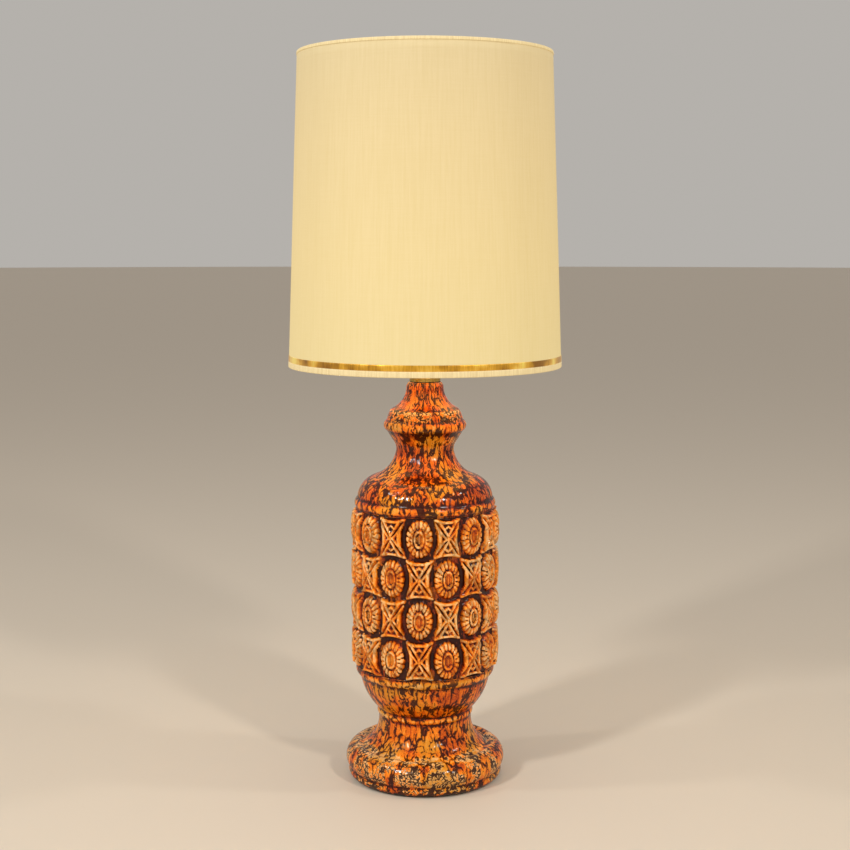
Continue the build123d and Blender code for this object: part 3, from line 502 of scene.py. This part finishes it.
# %% Space of the glaze
# Runny art glaze on earthenware: an orange glaze poured over a dark one and fired till both flow. The eye gets drops
# and streaks with near-black lines between them, under one glassy skin with small crisp highlights.
WALL_DROP, FINE_DROP = 5.0, 4.2  # sizes of the drops
glaze, tree, shader, place = finish(
    "drip_glaze",
    {"Roughness": 0.5, "Specular IOR Level": 0.05, "Coat Weight": 0.62, "Coat Roughness": 0.025, "Coat IOR": 1.42},
)
crest_and_painted_light_value = add(tree, "Attribute", out="Fac", attribute_name="crest_and_painted_light")
fine_value = add(tree, "Attribute", out="Fac", attribute_name="fine")
drum_value = add(tree, "Attribute", out="Fac", attribute_name="drum")
drip_place = add(tree, "Attribute", out="Vector", attribute_name="drip")
swirl = add(tree, "TexNoise", {"Vector": place, "Scale": 1 / 8, "Detail": 2.0}, out="Color")
centred = add(tree, "VectorMath", {0: swirl, 1: (0.5, 0.5, 0.5)}, operation="SUBTRACT")
warped = add(tree, "VectorMath", {0: centred, 1: (8, 8, 8), 2: place}, operation="MULTIPLY_ADD")
drawn_out = add(tree, "VectorMath", {0: centred, 1: (6, 6, 3), 2: drip_place}, operation="MULTIPLY_ADD")
patches = add(tree, "TexNoise", {"Vector": place, "Scale": 1 / 30, "Detail": 2.0, "Roughness": 0.5})
runs = add(tree, "TexNoise", {"Vector": drawn_out, "Scale": 1 / 4.5, "Detail": 3.0, "Roughness": 0.6})
blots = add(tree, "TexNoise", {"Vector": place, "Scale": 1 / 8, "Detail": 4.0, "Roughness": 0.62})
speckle = add(tree, "TexNoise", {"Vector": place, "Scale": 1 / 1.6, "Detail": 2.0, "Roughness": 0.6})

# %% Net of dark lines
wall_net = add(tree, "TexVoronoi", {"Vector": drawn_out, "Scale": 1 / WALL_DROP}, feature="DISTANCE_TO_EDGE")
fine_net = add(tree, "TexVoronoi", {"Vector": warped, "Scale": 1 / FINE_DROP}, feature="DISTANCE_TO_EDGE")
streams = add(tree, "TexNoise", {"Vector": drip_place, "Scale": 1 / 13, "Detail": 2.0, "Roughness": 0.5})
speckled = add(tree, "MapRange", {0: streams, 1: 0.56, 2: 0.50, 3: 0.0, 4: fine_value})
net = add(tree, "Mix", {0: speckled, 2: wall_net, 3: fine_net})
widest = add(tree, "MapRange", {0: speckled, 1: 0.0, 2: 1.0, 3: 0.30, 4: 0.46})
line_width = add(tree, "MapRange", {0: blots, 1: 0.40, 2: 0.66, 3: 0.0, 4: widest})
line_start = add(tree, "Math", {0: line_width, 1: 0.4}, operation="MULTIPLY")
line_share = add(tree, "MapRange", {0: net, 1: line_start, 2: line_width, 3: 0.96, 4: 0.0})
off_drum = add(tree, "MapRange", {0: drum_value, 1: 0.0, 2: 1.0, 3: 1.0, 4: 0.45})
lines = add(tree, "Math", {0: line_share, 1: off_drum}, operation="MULTIPLY")
pool_edge = add(tree, "MapRange", {0: runs, 1: 0.37, 2: 0.63, 3: -1.5, 4: 0.1})
pool_end = add(tree, "Math", {0: pool_edge, 1: 0.22}, operation="ADD")
# Dark where the number is low: partly glaze pooled in grooves, partly painted shade in recesses.
pools_and_painted_shade = add(tree, "MapRange", {0: crest_and_painted_light_value, 1: pool_edge, 2: pool_end, 3: 0.97, 4: 0.0})
dark = add(tree, "Math", {0: lines, 1: pools_and_painted_shade}, operation="MAXIMUM")

# %% Colours of the glaze
TONE_OFFSET = 0.58  # brings the weighted sum into the middle of the ramp
# Pale rims round the drops of the fine net, slightly darker ones elsewhere: partly glaze, partly a painted highlight on
# the drops' edges.
rim_highlight_end = add(tree, "Math", {0: line_width, 1: 0.13}, operation="ADD")
rim_and_painted_highlight = add(tree, "MapRange", {0: net, 1: line_width, 2: rim_highlight_end, 3: 1.0, 4: 0.0})
rim_highlight_strength = add(tree, "MapRange", {0: speckled, 1: 0.0, 2: 1.0, 3: -0.12, 4: 0.33})
tone = add(tree, "Math", {0: rim_and_painted_highlight, 1: rim_highlight_strength}, operation="MULTIPLY")
tone = add(tree, "Math", {0: tone, 1: off_drum}, operation="MULTIPLY")
# The crests raise the tone, partly as a painted highlight.
for source, weight in ((crest_and_painted_light_value, 0.30), (patches, 0.9), (runs, 0.8), (blots, 0.3), (speckle, 0.35)):
    tone = add(tree, "Math", {0: source, 1: weight, 2: tone}, operation="MULTIPLY_ADD")
tone = add(tree, "Math", {0: tone, 1: TONE_OFFSET}, operation="SUBTRACT")
skin = add(
    tree, "ValToRGB", {0: tone},
    stops=((0.05, "#4A1002"), (0.22, "#8C2E04"), (0.4, "#CC5406"), (0.56, "#F0780A"), (0.74, "#FF9A28"),
           (0.96, "#FFCA8A")),
)
most_gold = add(tree, "Math", {0: off_drum, 1: 0.6}, operation="MULTIPLY")
gold_share = add(tree, "MapRange", {0: patches, 1: 0.5, 2: 0.62, 3: 0.0, 4: most_gold})
golden = add(tree, "Mix", {0: gold_share, 6: skin, 7: colour("#C48518")}, out=2, data_type="RGBA")
full_skin = add(tree, "Mix", {0: dark, 6: golden, 7: colour("#2A0400")}, out=2, data_type="RGBA")
tree.links.new(full_skin, shader.inputs["Base Color"])

# %% Surface of the glaze
drops = add(tree, "MapRange", {0: net, 1: 0.0, 2: 0.3, 3: 0.0, 4: 1.0}, interpolation_type="SMOOTHSTEP")
surface = add(tree, "Math", {0: blots, 1: 0.8, 2: drops}, operation="MULTIPLY_ADD")
skin_bump = add(tree, "Bump", {"Height": surface, "Distance": 0.6 * MM, "Strength": 0.26})
tree.links.new(skin_bump, shader.inputs["Normal"])
tree.links.new(skin_bump, shader.inputs["Coat Normal"])
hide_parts("ceramic_body")
settle(casting, "base", glaze)

# %% [markdown]
# ## The felt under the foot
#
# A disc of felt is glued under the foot, so that the lamp doesn't scratch. It is a sheet, cut round. Its edge is eased,
# and its finish is matt with a fuzz of short fibres.

# %% Felt disc
felt_pad = turned("felt_pad", eased(outline((0, 0), (80.0, 0, 0, 6), (80.0, 1.5, 0, 1), (0, 1.5, 0, 6)), 0.4), 128)
# Wool felt, pressed from dyed fibres and cut with a die: a matt, fuzzy surface with darker and lighter tufts.
felt, tree, shader, place = finish(
    "pressed_wool_felt", {"Roughness": 1.0, "Sheen Weight": 0.5, "Sheen Roughness": 0.6, "Sheen Tint": "#7C9A84"},
)
fibres = add(tree, "TexNoise", {"Vector": place, "Scale": 1 / 0.9, "Detail": 4.0, "Roughness": 0.7, "Distortion": 2.0})
wool = add(tree, "ValToRGB", {0: fibres}, stops=((0.3, "#16291D"), (0.7, "#37553F")))
tree.links.new(wool, shader.inputs["Base Color"])
fuzz = add(tree, "Bump", {"Height": fibres, "Distance": 0.3 * MM, "Strength": 0.7})
tree.links.new(fuzz, shader.inputs["Normal"])
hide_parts("foot_felt")
settle(felt_pad, "base", felt)

# %% [markdown]
# ## The cloth of the shade
#
# The shade is one piece of slubbed cotton, laminated to a stiff white lining, rolled into a slight cone and lapped at
# the back. Thicker threads run up and down it at uneven distances. The bulb shines through it, most of all low down,
# near its own height, and the threads show against the light. The cloth itself is lit from within by emission, which
# is cleaner and quicker than sending light through two thin layers.

# %% Cone of the shade
SHADE_LOW, SHADE_HIGH = 462.0, 797.5
CLOTH_LOW, CLOTH_HIGH = 462.45, 797.05
CLOTH_THICKNESS = 0.4
LOWER_RADIUS, UPPER_RADIUS = 148.9, 136.6
CLOTH_STEPS = 288


def shade_radius(height):
    """Outer radius of the cloth at a height."""
    return LOWER_RADIUS + (height - SHADE_LOW) / (SHADE_HIGH - SHADE_LOW) * (UPPER_RADIUS - LOWER_RADIUS)


low, high = shade_radius(CLOTH_LOW), shade_radius(CLOTH_HIGH)
cloth_outline = outline(
    (low - CLOTH_THICKNESS, CLOTH_LOW),
    (low, CLOTH_LOW, 0, 1),
    (high, CLOTH_HIGH, 0, 30),
    (high - CLOTH_THICKNESS, CLOTH_HIGH, 0, 1),
    (low - CLOTH_THICKNESS, CLOTH_LOW, 0, 30),
)[:-1]
shade_cloth = turned("shade_cloth", cloth_outline, CLOTH_STEPS)

# %% Lap at the back
LAP_HALF_WIDTH, LAP_HEIGHT = 7.0, 0.35
UNEVENNESS = 0.12  # how far the cloth stands off its cone, in slow waves
places = positions(shade_cloth)
radius = np.hypot(places[:, 0], places[:, 1])
from_back = np.abs(places[:, 0])
is_outer = radius > shade_radius(places[:, 2]) - CLOTH_THICKNESS / 2
lap = LAP_HEIGHT * (1 - step_up(from_back, LAP_HALF_WIDTH - 1, LAP_HALF_WIDTH + 1)) * (places[:, 1] > 0) * is_outer
level_share = (places[:, 2] - CLOTH_LOW) / (CLOTH_HIGH - CLOTH_LOW)
turn = np.arctan2(places[:, 0], -places[:, 1])
drawn = UNEVENNESS * np.sin(turn * 9 + 3 * level_share) * np.sin(math.pi * level_share)
grow = (radius + lap + drawn) / radius
places[:, 0] *= grow
places[:, 1] *= grow
move_vertices(shade_cloth, places)
print("cloth lap stands out", round(float(lap.max()), 2), "mm")

# %% Slubbed cotton, lit from behind
# Cotton woven from uneven yarn and laminated to a stiff sheet: matt cream, with faint upright streaks where a thick
# thread holds back the light of the bulb.
cotton, tree, shader, place = finish("slubbed_cotton", {"Roughness": 0.9, "Emission Strength": 0.34})
thread_space = add(tree, "VectorMath", {0: place, 1: (1, 1, 0.012)}, operation="MULTIPLY")
slubs = add(tree, "TexNoise", {"Vector": thread_space, "Scale": 1 / 2.2, "Detail": 3.0, "Roughness": 0.65})
weft_space = add(tree, "VectorMath", {0: place, 1: (0.03, 0.03, 1)}, operation="MULTIPLY")
weft = add(tree, "TexNoise", {"Vector": weft_space, "Scale": 1 / 0.9, "Detail": 2.0, "Roughness": 0.5})
weave = add(tree, "Math", {0: weft, 1: 0.35, 2: slubs}, operation="MULTIPLY_ADD")
cloth_dye = add(tree, "ValToRGB", {0: weave}, stops=((0.5, "#B7AB86"), (0.85, "#BFB390")))
tree.links.new(cloth_dye, shader.inputs["Base Color"])
height_value = add(tree, "SeparateXYZ", {0: place}, out="Z")
rise = add(tree, "MapRange", {0: height_value, 1: SHADE_LOW, 2: SHADE_HIGH, 3: 0.0, 4: 1.0})
glow = add(
    tree, "ValToRGB", {0: rise},
    stops=((0.0, "#FFE088"), (0.35, "#FFDA84"), (0.7, "#F0CA80"), (1.0, "#D8B67C")),
)
threads = add(tree, "MapRange", {0: weave, 1: 0.5, 2: 0.85, 3: 1.03, 4: 0.965})
shine = add(tree, "VectorMath", {0: glow, "Scale": threads}, operation="SCALE")
tree.links.new(shine, shader.inputs["Emission Color"])
cloth_bump = add(tree, "Bump", {"Height": weave, "Distance": 0.2 * MM, "Strength": 0.35})
tree.links.new(cloth_bump, shader.inputs["Normal"])
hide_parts("shade_fabric")
settle(shade_cloth, "shade", cotton)

# %% [markdown]
# ## Tapes and ribbon
#
# A strip of the same cloth is folded round each edge of the shade and its wire, so its section is a flat U with round
# folds. It is notched where the three arms of the fitter pass. Just above the lower one, a narrow ribbon of gold satin
# is glued round. Its metallic thread glitters, so it shines in some places and is brown in others: these glints and
# brown patches are painted highlights and painted shade in its colour, and it glows by emission as painted light.

# %% Folded tapes
TAPE = 0.4  # thickness
GLUE = 0.05


def folded_tape(name, edge, outer_width, inner_radius, inner_width, way):
    """A tape folded round an edge of the shade. Way is 1 where it is folded up from below, and -1 from above."""
    inside = inner_radius - TAPE
    rim = shade_radius(edge) + GLUE + TAPE
    leg_top = shade_radius(edge + way * outer_width) + GLUE + TAPE
    section = outline(
        (inside, edge + way * inner_width),
        (inside, edge + way * 0.9, 0, 2),
        (inside + 0.9, edge, 0.25 * way, 4),
        (rim - 0.9, edge, 0, 2),
        (rim, edge + way * 0.9, 0.25 * way, 4),
        (leg_top, edge + way * outer_width, 0, 3),
        (leg_top - TAPE, edge + way * outer_width, 0, 1),
        (rim - TAPE, edge + way * 1.0, 0, 3),
        (rim - TAPE - 0.6, edge + way * TAPE, -0.15 * way, 3),
        (inner_radius + 0.6, edge + way * TAPE, 0, 2),
        (inner_radius, edge + way * 1.0, -0.15 * way, 3),
        (inner_radius, edge + way * inner_width, 0, 2),
    )
    return turned(name, section, 240)


lower_tape = folded_tape("lower_tape", SHADE_LOW, 6.4, 144.48, 5.0, 1)
upper_tape = folded_tape("upper_tape", SHADE_HIGH, 3.4, 132.32, 5.0, -1)

# %% Notches for the arms
ARM_ANGLES = (90, 210, 330)
NOTCH_RADIUS, NOTCH_LEVEL = 144.0, 466.0
NOTCH_SIZE = (0.0026, 0.0044, 0.0066)  # metres
for arm_angle in ARM_ANGLES:
    deselect()
    turn = math.radians(arm_angle)
    place_mm = (NOTCH_RADIUS * math.cos(turn), NOTCH_RADIUS * math.sin(turn), NOTCH_LEVEL)
    bpy.ops.mesh.primitive_cube_add(size=1, location=[v * MM for v in place_mm], rotation=(0, 0, turn))
    cutter = bpy.context.object
    cutter.scale = NOTCH_SIZE
    cut_away(lower_tape, cutter)

# %% Ribbed tape
# Narrow cotton tape, woven with ribs, folded and glued: the same cream as the cloth, finer and a little smoother.
# Like the cloth, it glows by emission, a painted glow of the bulb's light shining through it, streaked by its ribs.
tape_cloth, tree, shader, place = finish("cotton_tape", {"Roughness": 0.85, "Emission Strength": 0.34})
rib_space = add(tree, "VectorMath", {0: place, 1: (1, 1, 0.02)}, operation="MULTIPLY")
ribs = add(tree, "TexNoise", {"Vector": rib_space, "Scale": 1 / 1.1, "Detail": 2.0, "Roughness": 0.5})
tape_dye = add(tree, "ValToRGB", {0: ribs}, stops=((0.3, "#B9AB86"), (0.7, "#CBBE9A")))
tree.links.new(tape_dye, shader.inputs["Base Color"])
tape_glow = add(tree, "ValToRGB", {0: ribs}, stops=((0.3, "#EEC982"), (0.7, "#FADB92")))
tree.links.new(tape_glow, shader.inputs["Emission Color"])
tape_bump = add(tree, "Bump", {"Height": ribs, "Distance": 0.2 * MM, "Strength": 0.5})
tree.links.new(tape_bump, shader.inputs["Normal"])
for tape, cad_node in ((lower_tape, "bottom_hem"), (upper_tape, "top_hem")):
    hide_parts(cad_node)
    settle(tape, "shade", tape_cloth)

# %% Gold ribbon
RIBBON_LOW, RIBBON_HIGH = 468.5, 474.8
RIBBON_THICKNESS = 0.3
ribbon_low, ribbon_high = shade_radius(RIBBON_LOW) + GLUE, shade_radius(RIBBON_HIGH) + GLUE
gold_ribbon = turned(
    "gold_ribbon",
    outline(
        (ribbon_low, RIBBON_LOW),
        (ribbon_low + RIBBON_THICKNESS, RIBBON_LOW, 0, 1),
        (ribbon_high + RIBBON_THICKNESS, RIBBON_HIGH, 0.12, 8),
        (ribbon_high, RIBBON_HIGH, 0, 1),
        (ribbon_low, RIBBON_LOW, 0, 4),
    )[:-1],
    CLOTH_STEPS,
)
# Satin ribbon woven with metallised thread: long floats of it shine like a dull mirror, and where they turn away from
# the light the ribbon goes brown. Here that shine and brown are painted into its colour by noise, as painted glints
# and painted shade, and the same colour glows by emission as painted light.
gold_satin, tree, shader, place = finish(
    "metallic_satin_ribbon", {"Metallic": 0.75, "Roughness": 0.34, "Sheen Weight": 0.2, "Emission Strength": 0.32},
)
floats = add(tree, "TexNoise", {"Vector": place, "Scale": 1 / 34, "Detail": 2.0, "Roughness": 0.5})
fine_space = add(tree, "VectorMath", {0: place, 1: (1, 1, 0.05)}, operation="MULTIPLY")
picks = add(tree, "TexNoise", {"Vector": fine_space, "Scale": 1 / 0.8, "Detail": 2.0, "Roughness": 0.6})
lustre = add(tree, "Math", {0: picks, 1: 0.22, 2: floats}, operation="MULTIPLY_ADD")
gold_with_painted_glints = add(tree, "ValToRGB", {0: lustre}, stops=((0.46, "#8E5E12"), (0.6, "#D39C2C"), (0.76, "#FCDC6C")))
tree.links.new(gold_with_painted_glints, shader.inputs["Base Color"])
tree.links.new(gold_with_painted_glints, shader.inputs["Emission Color"])
pick_bump = add(tree, "Bump", {"Height": picks, "Distance": 0.15 * MM, "Strength": 0.4})
tree.links.new(pick_bump, shader.inputs["Normal"])
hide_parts("gold_band")
settle(gold_ribbon, "shade", gold_satin)

# %% [markdown]
# ## Threads of the lampholder and the bulb
#
# The holder's shell has a coarse thread outside, which the shade's ring runs on. The bulb's cap and the shell that it
# screws into have a rolled thread with round knuckles. A thread is a helix, so each is turned as a plain tube with
# many rows, and its vertices are moved in by a wave that climbs one pitch in each turn.


# %% Cut a thread
RING_PITCH, BULB_PITCH = 2.5, 3.62
RUN_OUT = 1.2  # length over which a thread fades out at its ends
THREAD_STEPS = 72


def sleeve(inner, outer, start, end, rows):
    """Outline of a plain tube, with many rows for its thread."""
    around = outline(
        (inner, start), (inner, end, 0, rows), (outer, end, 0, 1), (outer, start, 0, rows), (inner, start, 0, 1)
    )
    return around[:-1]


def cut_thread(piece, low, high, least_radius, most_radius, pitch, depth, roundness):
    """Move in the vertices between two levels and two radii, by a wave that climbs a pitch in each turn."""
    places = positions(piece)
    radius = np.hypot(places[:, 0], places[:, 1])
    turn = np.arctan2(places[:, 1], places[:, 0]) / (2 * math.pi)
    wave = 0.5 - 0.5 * np.cos(2 * math.pi * (places[:, 2] / pitch - turn))
    wave = wave**roundness
    fade = step_up(places[:, 2], low, low + RUN_OUT) * (1 - step_up(places[:, 2], high - RUN_OUT, high))
    inside = (radius > least_radius) & (radius < most_radius)
    grow = 1 - np.where(inside, wave * fade * depth / np.maximum(radius, 1), 0)
    places[:, 0] *= grow
    places[:, 1] *= grow
    move_vertices(piece, places)


holder_thread = turned(
    "holder_thread",
    eased(
        outline(
            (16.5, 485.5), (18.45, 485.5, 0, 1), (18.45, 491.5, 0, 1), (24.5, 491.5, 0, 1), (24.5, 494.5, 0, 1),
            (19.9, 494.5, 0, 1), (19.9, 515.5, 0, 64), (16.5, 515.5, 0, 1),
        ),
        0.3,
    ),
    THREAD_STEPS,
)
cut_thread(holder_thread, 495.5, 515.3, 19.7, 20.0, RING_PITCH, 1.0, 0.8)

bulb_cap_piece = turned("bulb_screw_cap", sleeve(12.6, 13.1, 516.8, 495.3, 48), THREAD_STEPS)
cut_thread(bulb_cap_piece, 497.0, 512.5, 12, 14, BULB_PITCH, 0.7, 1.0)

socket_piece = turned("screw_socket", sleeve(13.95, 14.5, 485.5, 511.5, 52), THREAD_STEPS)
cut_thread(socket_piece, 487.0, 510.5, 13, 15, BULB_PITCH, 0.5, 1.0)

# %% [markdown]
# ## Finishes of the small hard parts
#
# Metal, plastic and porcelain each have one recipe. Metal has its colour, soft tarnish, and fine lines from the lathe
# or the roller, drawn by noise that is squeezed along the axis. Moulded plastic has a faint mottle and an almost
# smooth skin. Each recipe takes its colours and sizes from the piece that it is for.


# %% Metal
def metal(name, bright, tarnished, roughness, line_size):
    material, tree, shader, place = finish(name, {"Metallic": 1.0})
    clouds = add(tree, "TexNoise", {"Vector": place, "Scale": 1 / 6, "Detail": 4.0, "Roughness": 0.6})
    tint = add(tree, "ValToRGB", {0: clouds}, stops=((0.35, tarnished), (0.6, bright)))
    tree.links.new(tint, shader.inputs["Base Color"])
    squeezed = add(tree, "VectorMath", {0: place, 1: (0.08, 0.08, 1)}, operation="MULTIPLY")
    lines = add(tree, "TexNoise", {"Vector": squeezed, "Scale": 1 / line_size, "Detail": 3.0})
    dull = add(tree, "MapRange", {0: clouds, 1: 0.3, 2: 0.7, 3: roughness + 0.14, 4: roughness - 0.06})
    tree.links.new(dull, shader.inputs["Roughness"])
    line_bump = add(tree, "Bump", {"Height": lines, "Distance": 0.04 * MM, "Strength": 0.6})
    tree.links.new(line_bump, shader.inputs["Normal"])
    return material


# Stamped or drawn steel, zinc plated: a cool grey metal, slightly cloudy, with fine lines from the rolls.
steel = metal("zinc_plated_steel", "#B9BBBE", "#8E9093", 0.36, 0.5)
# Brass turned on a lathe, then left bare: warm yellow with browner tarnish and fine rings from the tool.
brass = metal("turned_brass", "#D8B765", "#A37A34", 0.26, 0.4)
# Aluminium drawn and rolled to a thread for the bulb's cap: a soft, whitish shine with rolled lines.
cap_metal = metal("drawn_aluminium", "#C9C7C2", "#9C9994", 0.32, 0.4)
# Tungsten wire drawn through a die and coiled: dark, dull grey.
tungsten = metal("tungsten_wire", "#6A6865", "#4C4A48", 0.5, 0.3)


# %% Plastic, porcelain, rubber and fibre
def moulded(name, light, dark, roughness, mottle, grain, depth, extra=None):
    material, tree, shader, place = finish(name, extra or {})
    clouds = add(tree, "TexNoise", {"Vector": place, "Scale": 1 / mottle, "Detail": 3.0, "Roughness": 0.55})
    tint = add(tree, "ValToRGB", {0: clouds}, stops=((0.38, dark), (0.62, light)))
    tree.links.new(tint, shader.inputs["Base Color"])
    dull = add(tree, "MapRange", {0: clouds, 1: 0.3, 2: 0.7, 3: roughness + 0.06, 4: roughness - 0.04})
    tree.links.new(dull, shader.inputs["Roughness"])
    texture = add(tree, "TexNoise", {"Vector": place, "Scale": 1 / grain, "Detail": 3.0})
    texture_bump = add(tree, "Bump", {"Height": texture, "Distance": depth * MM, "Strength": 0.5})
    tree.links.new(texture_bump, shader.inputs["Normal"])
    return material


# Phenolic resin pressed in a hot steel mould: almost black brown, smooth, with the soft gloss of the mould.
phenolic = moulded("moulded_phenolic_plastic", "#2A211C", "#1A1411", 0.24, 9, 1.2, 0.04)
# Urea resin, moulded in the same way: ivory, slightly yellowed by years near a warm bulb.
ivory_plastic = moulded("ivory_urea_plastic", "#E6DFCB", "#DAD0B6", 0.3, 7, 1.0, 0.03)
# Porcelain, pressed, glazed clear and fired: white under a thin skin of glass, with sharp highlights.
porcelain = moulded("glazed_porcelain", "#EFECE4", "#E2DED2", 0.14, 8, 2.0, 0.05, {"Coat Weight": 0.5})
# Black rubber, moulded soft: dull and slightly dusty.
rubber = moulded("black_rubber", "#1E1E1E", "#121212", 0.72, 4, 0.5, 0.08)
# Vulcanised fibre, punched from pressed paper board: red brown and leathery.
fibre = moulded("vulcanised_fibre", "#86331F", "#652114", 0.6, 3, 0.5, 0.08)
# Powder paint baked on steel wire: white, with a faint orange-peel surface.
white_wire = moulded("white_powder_coat", "#EFECE3", "#E2DDCF", 0.38, 14, 0.9, 0.06)
# Black glass, pressed hot round the contact of the cap: glossy and quite black.
vitrite = moulded("black_glass_insulator", "#161416", "#0B0A0B", 0.1, 5, 1.5, 0.02)
# Styrene sheet, extruded matt and glued behind the cloth: white, and it glows warm in the light of the bulb.
lining = moulded("styrene_lining", "#F6F0E2", "#EDE4D0", 0.46, 18, 0.8, 0.05, {"Emission Strength": 0.55})
lining.node_tree.nodes["Principled BSDF"].inputs["Emission Color"].default_value = colour("#FFE2AE")
# Clear glass, drawn as a tube and pinched round the wires: nearly unseen but for its highlights.
clear_glass = moulded("clear_glass", "#F4F8F7", "#EAF0EE", 0.06, 8, 2.0, 0.01, {"Transmission Weight": 0.9})
# Glass blown in a mould and coated inside with white powder: when lit it is an even, warm white glow.
opal_glass = moulded("opal_glass", "#FBF6EA", "#F5EEDD", 0.3, 12, 1.0, 0.02, {"Emission Strength": 14.0})
opal_glass.node_tree.nodes["Principled BSDF"].inputs["Emission Color"].default_value = colour("#FFCB86")

# %% Which part has which finish
finishes = (
    (steel, ["clamp_plate", "lower_nut", "lamp_tube", "grub_screw", "terminal_screws"]),
    (brass, ["neck_cap", "lock_nut", "terminal_blocks", "centre_contact"]),
    (cap_metal, ["bulb_contact"]),
    (tungsten, ["bulb_filament"]),
    (phenolic, ["holder_cap", "switch_body", "shade_ring"]),
    (ivory_plastic, ["switch_bar"]),
    (porcelain, ["holder_insert"]),
    (rubber, ["cord_grommet", "floor_gasket", "neck_gasket"]),
    (fibre, ["fibre_washer", "slip_washer"]),
    (white_wire, ["shade_fitter", "shade_top_wire"]),
    (vitrite, ["bulb_insulator"]),
    (lining, ["shade_lining"]),
    (clear_glass, ["bulb_stem"]),
    (opal_glass, ["bulb_glass"]),
)
for material, names in finishes:
    for name in names:
        for material_slot in nodes[name].material_slots:
            material_slot.material = material
for piece, cad_node, body, slot, material in (
    (holder_thread, "holder_shell", "base", "holder_plastic", phenolic),
    (bulb_cap_piece, "bulb_cap", "bulb", "cap_metal", cap_metal),
    (socket_piece, "screw_shell", "base", "brass", brass),
):
    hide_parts(cad_node)
    settle(piece, body, material)
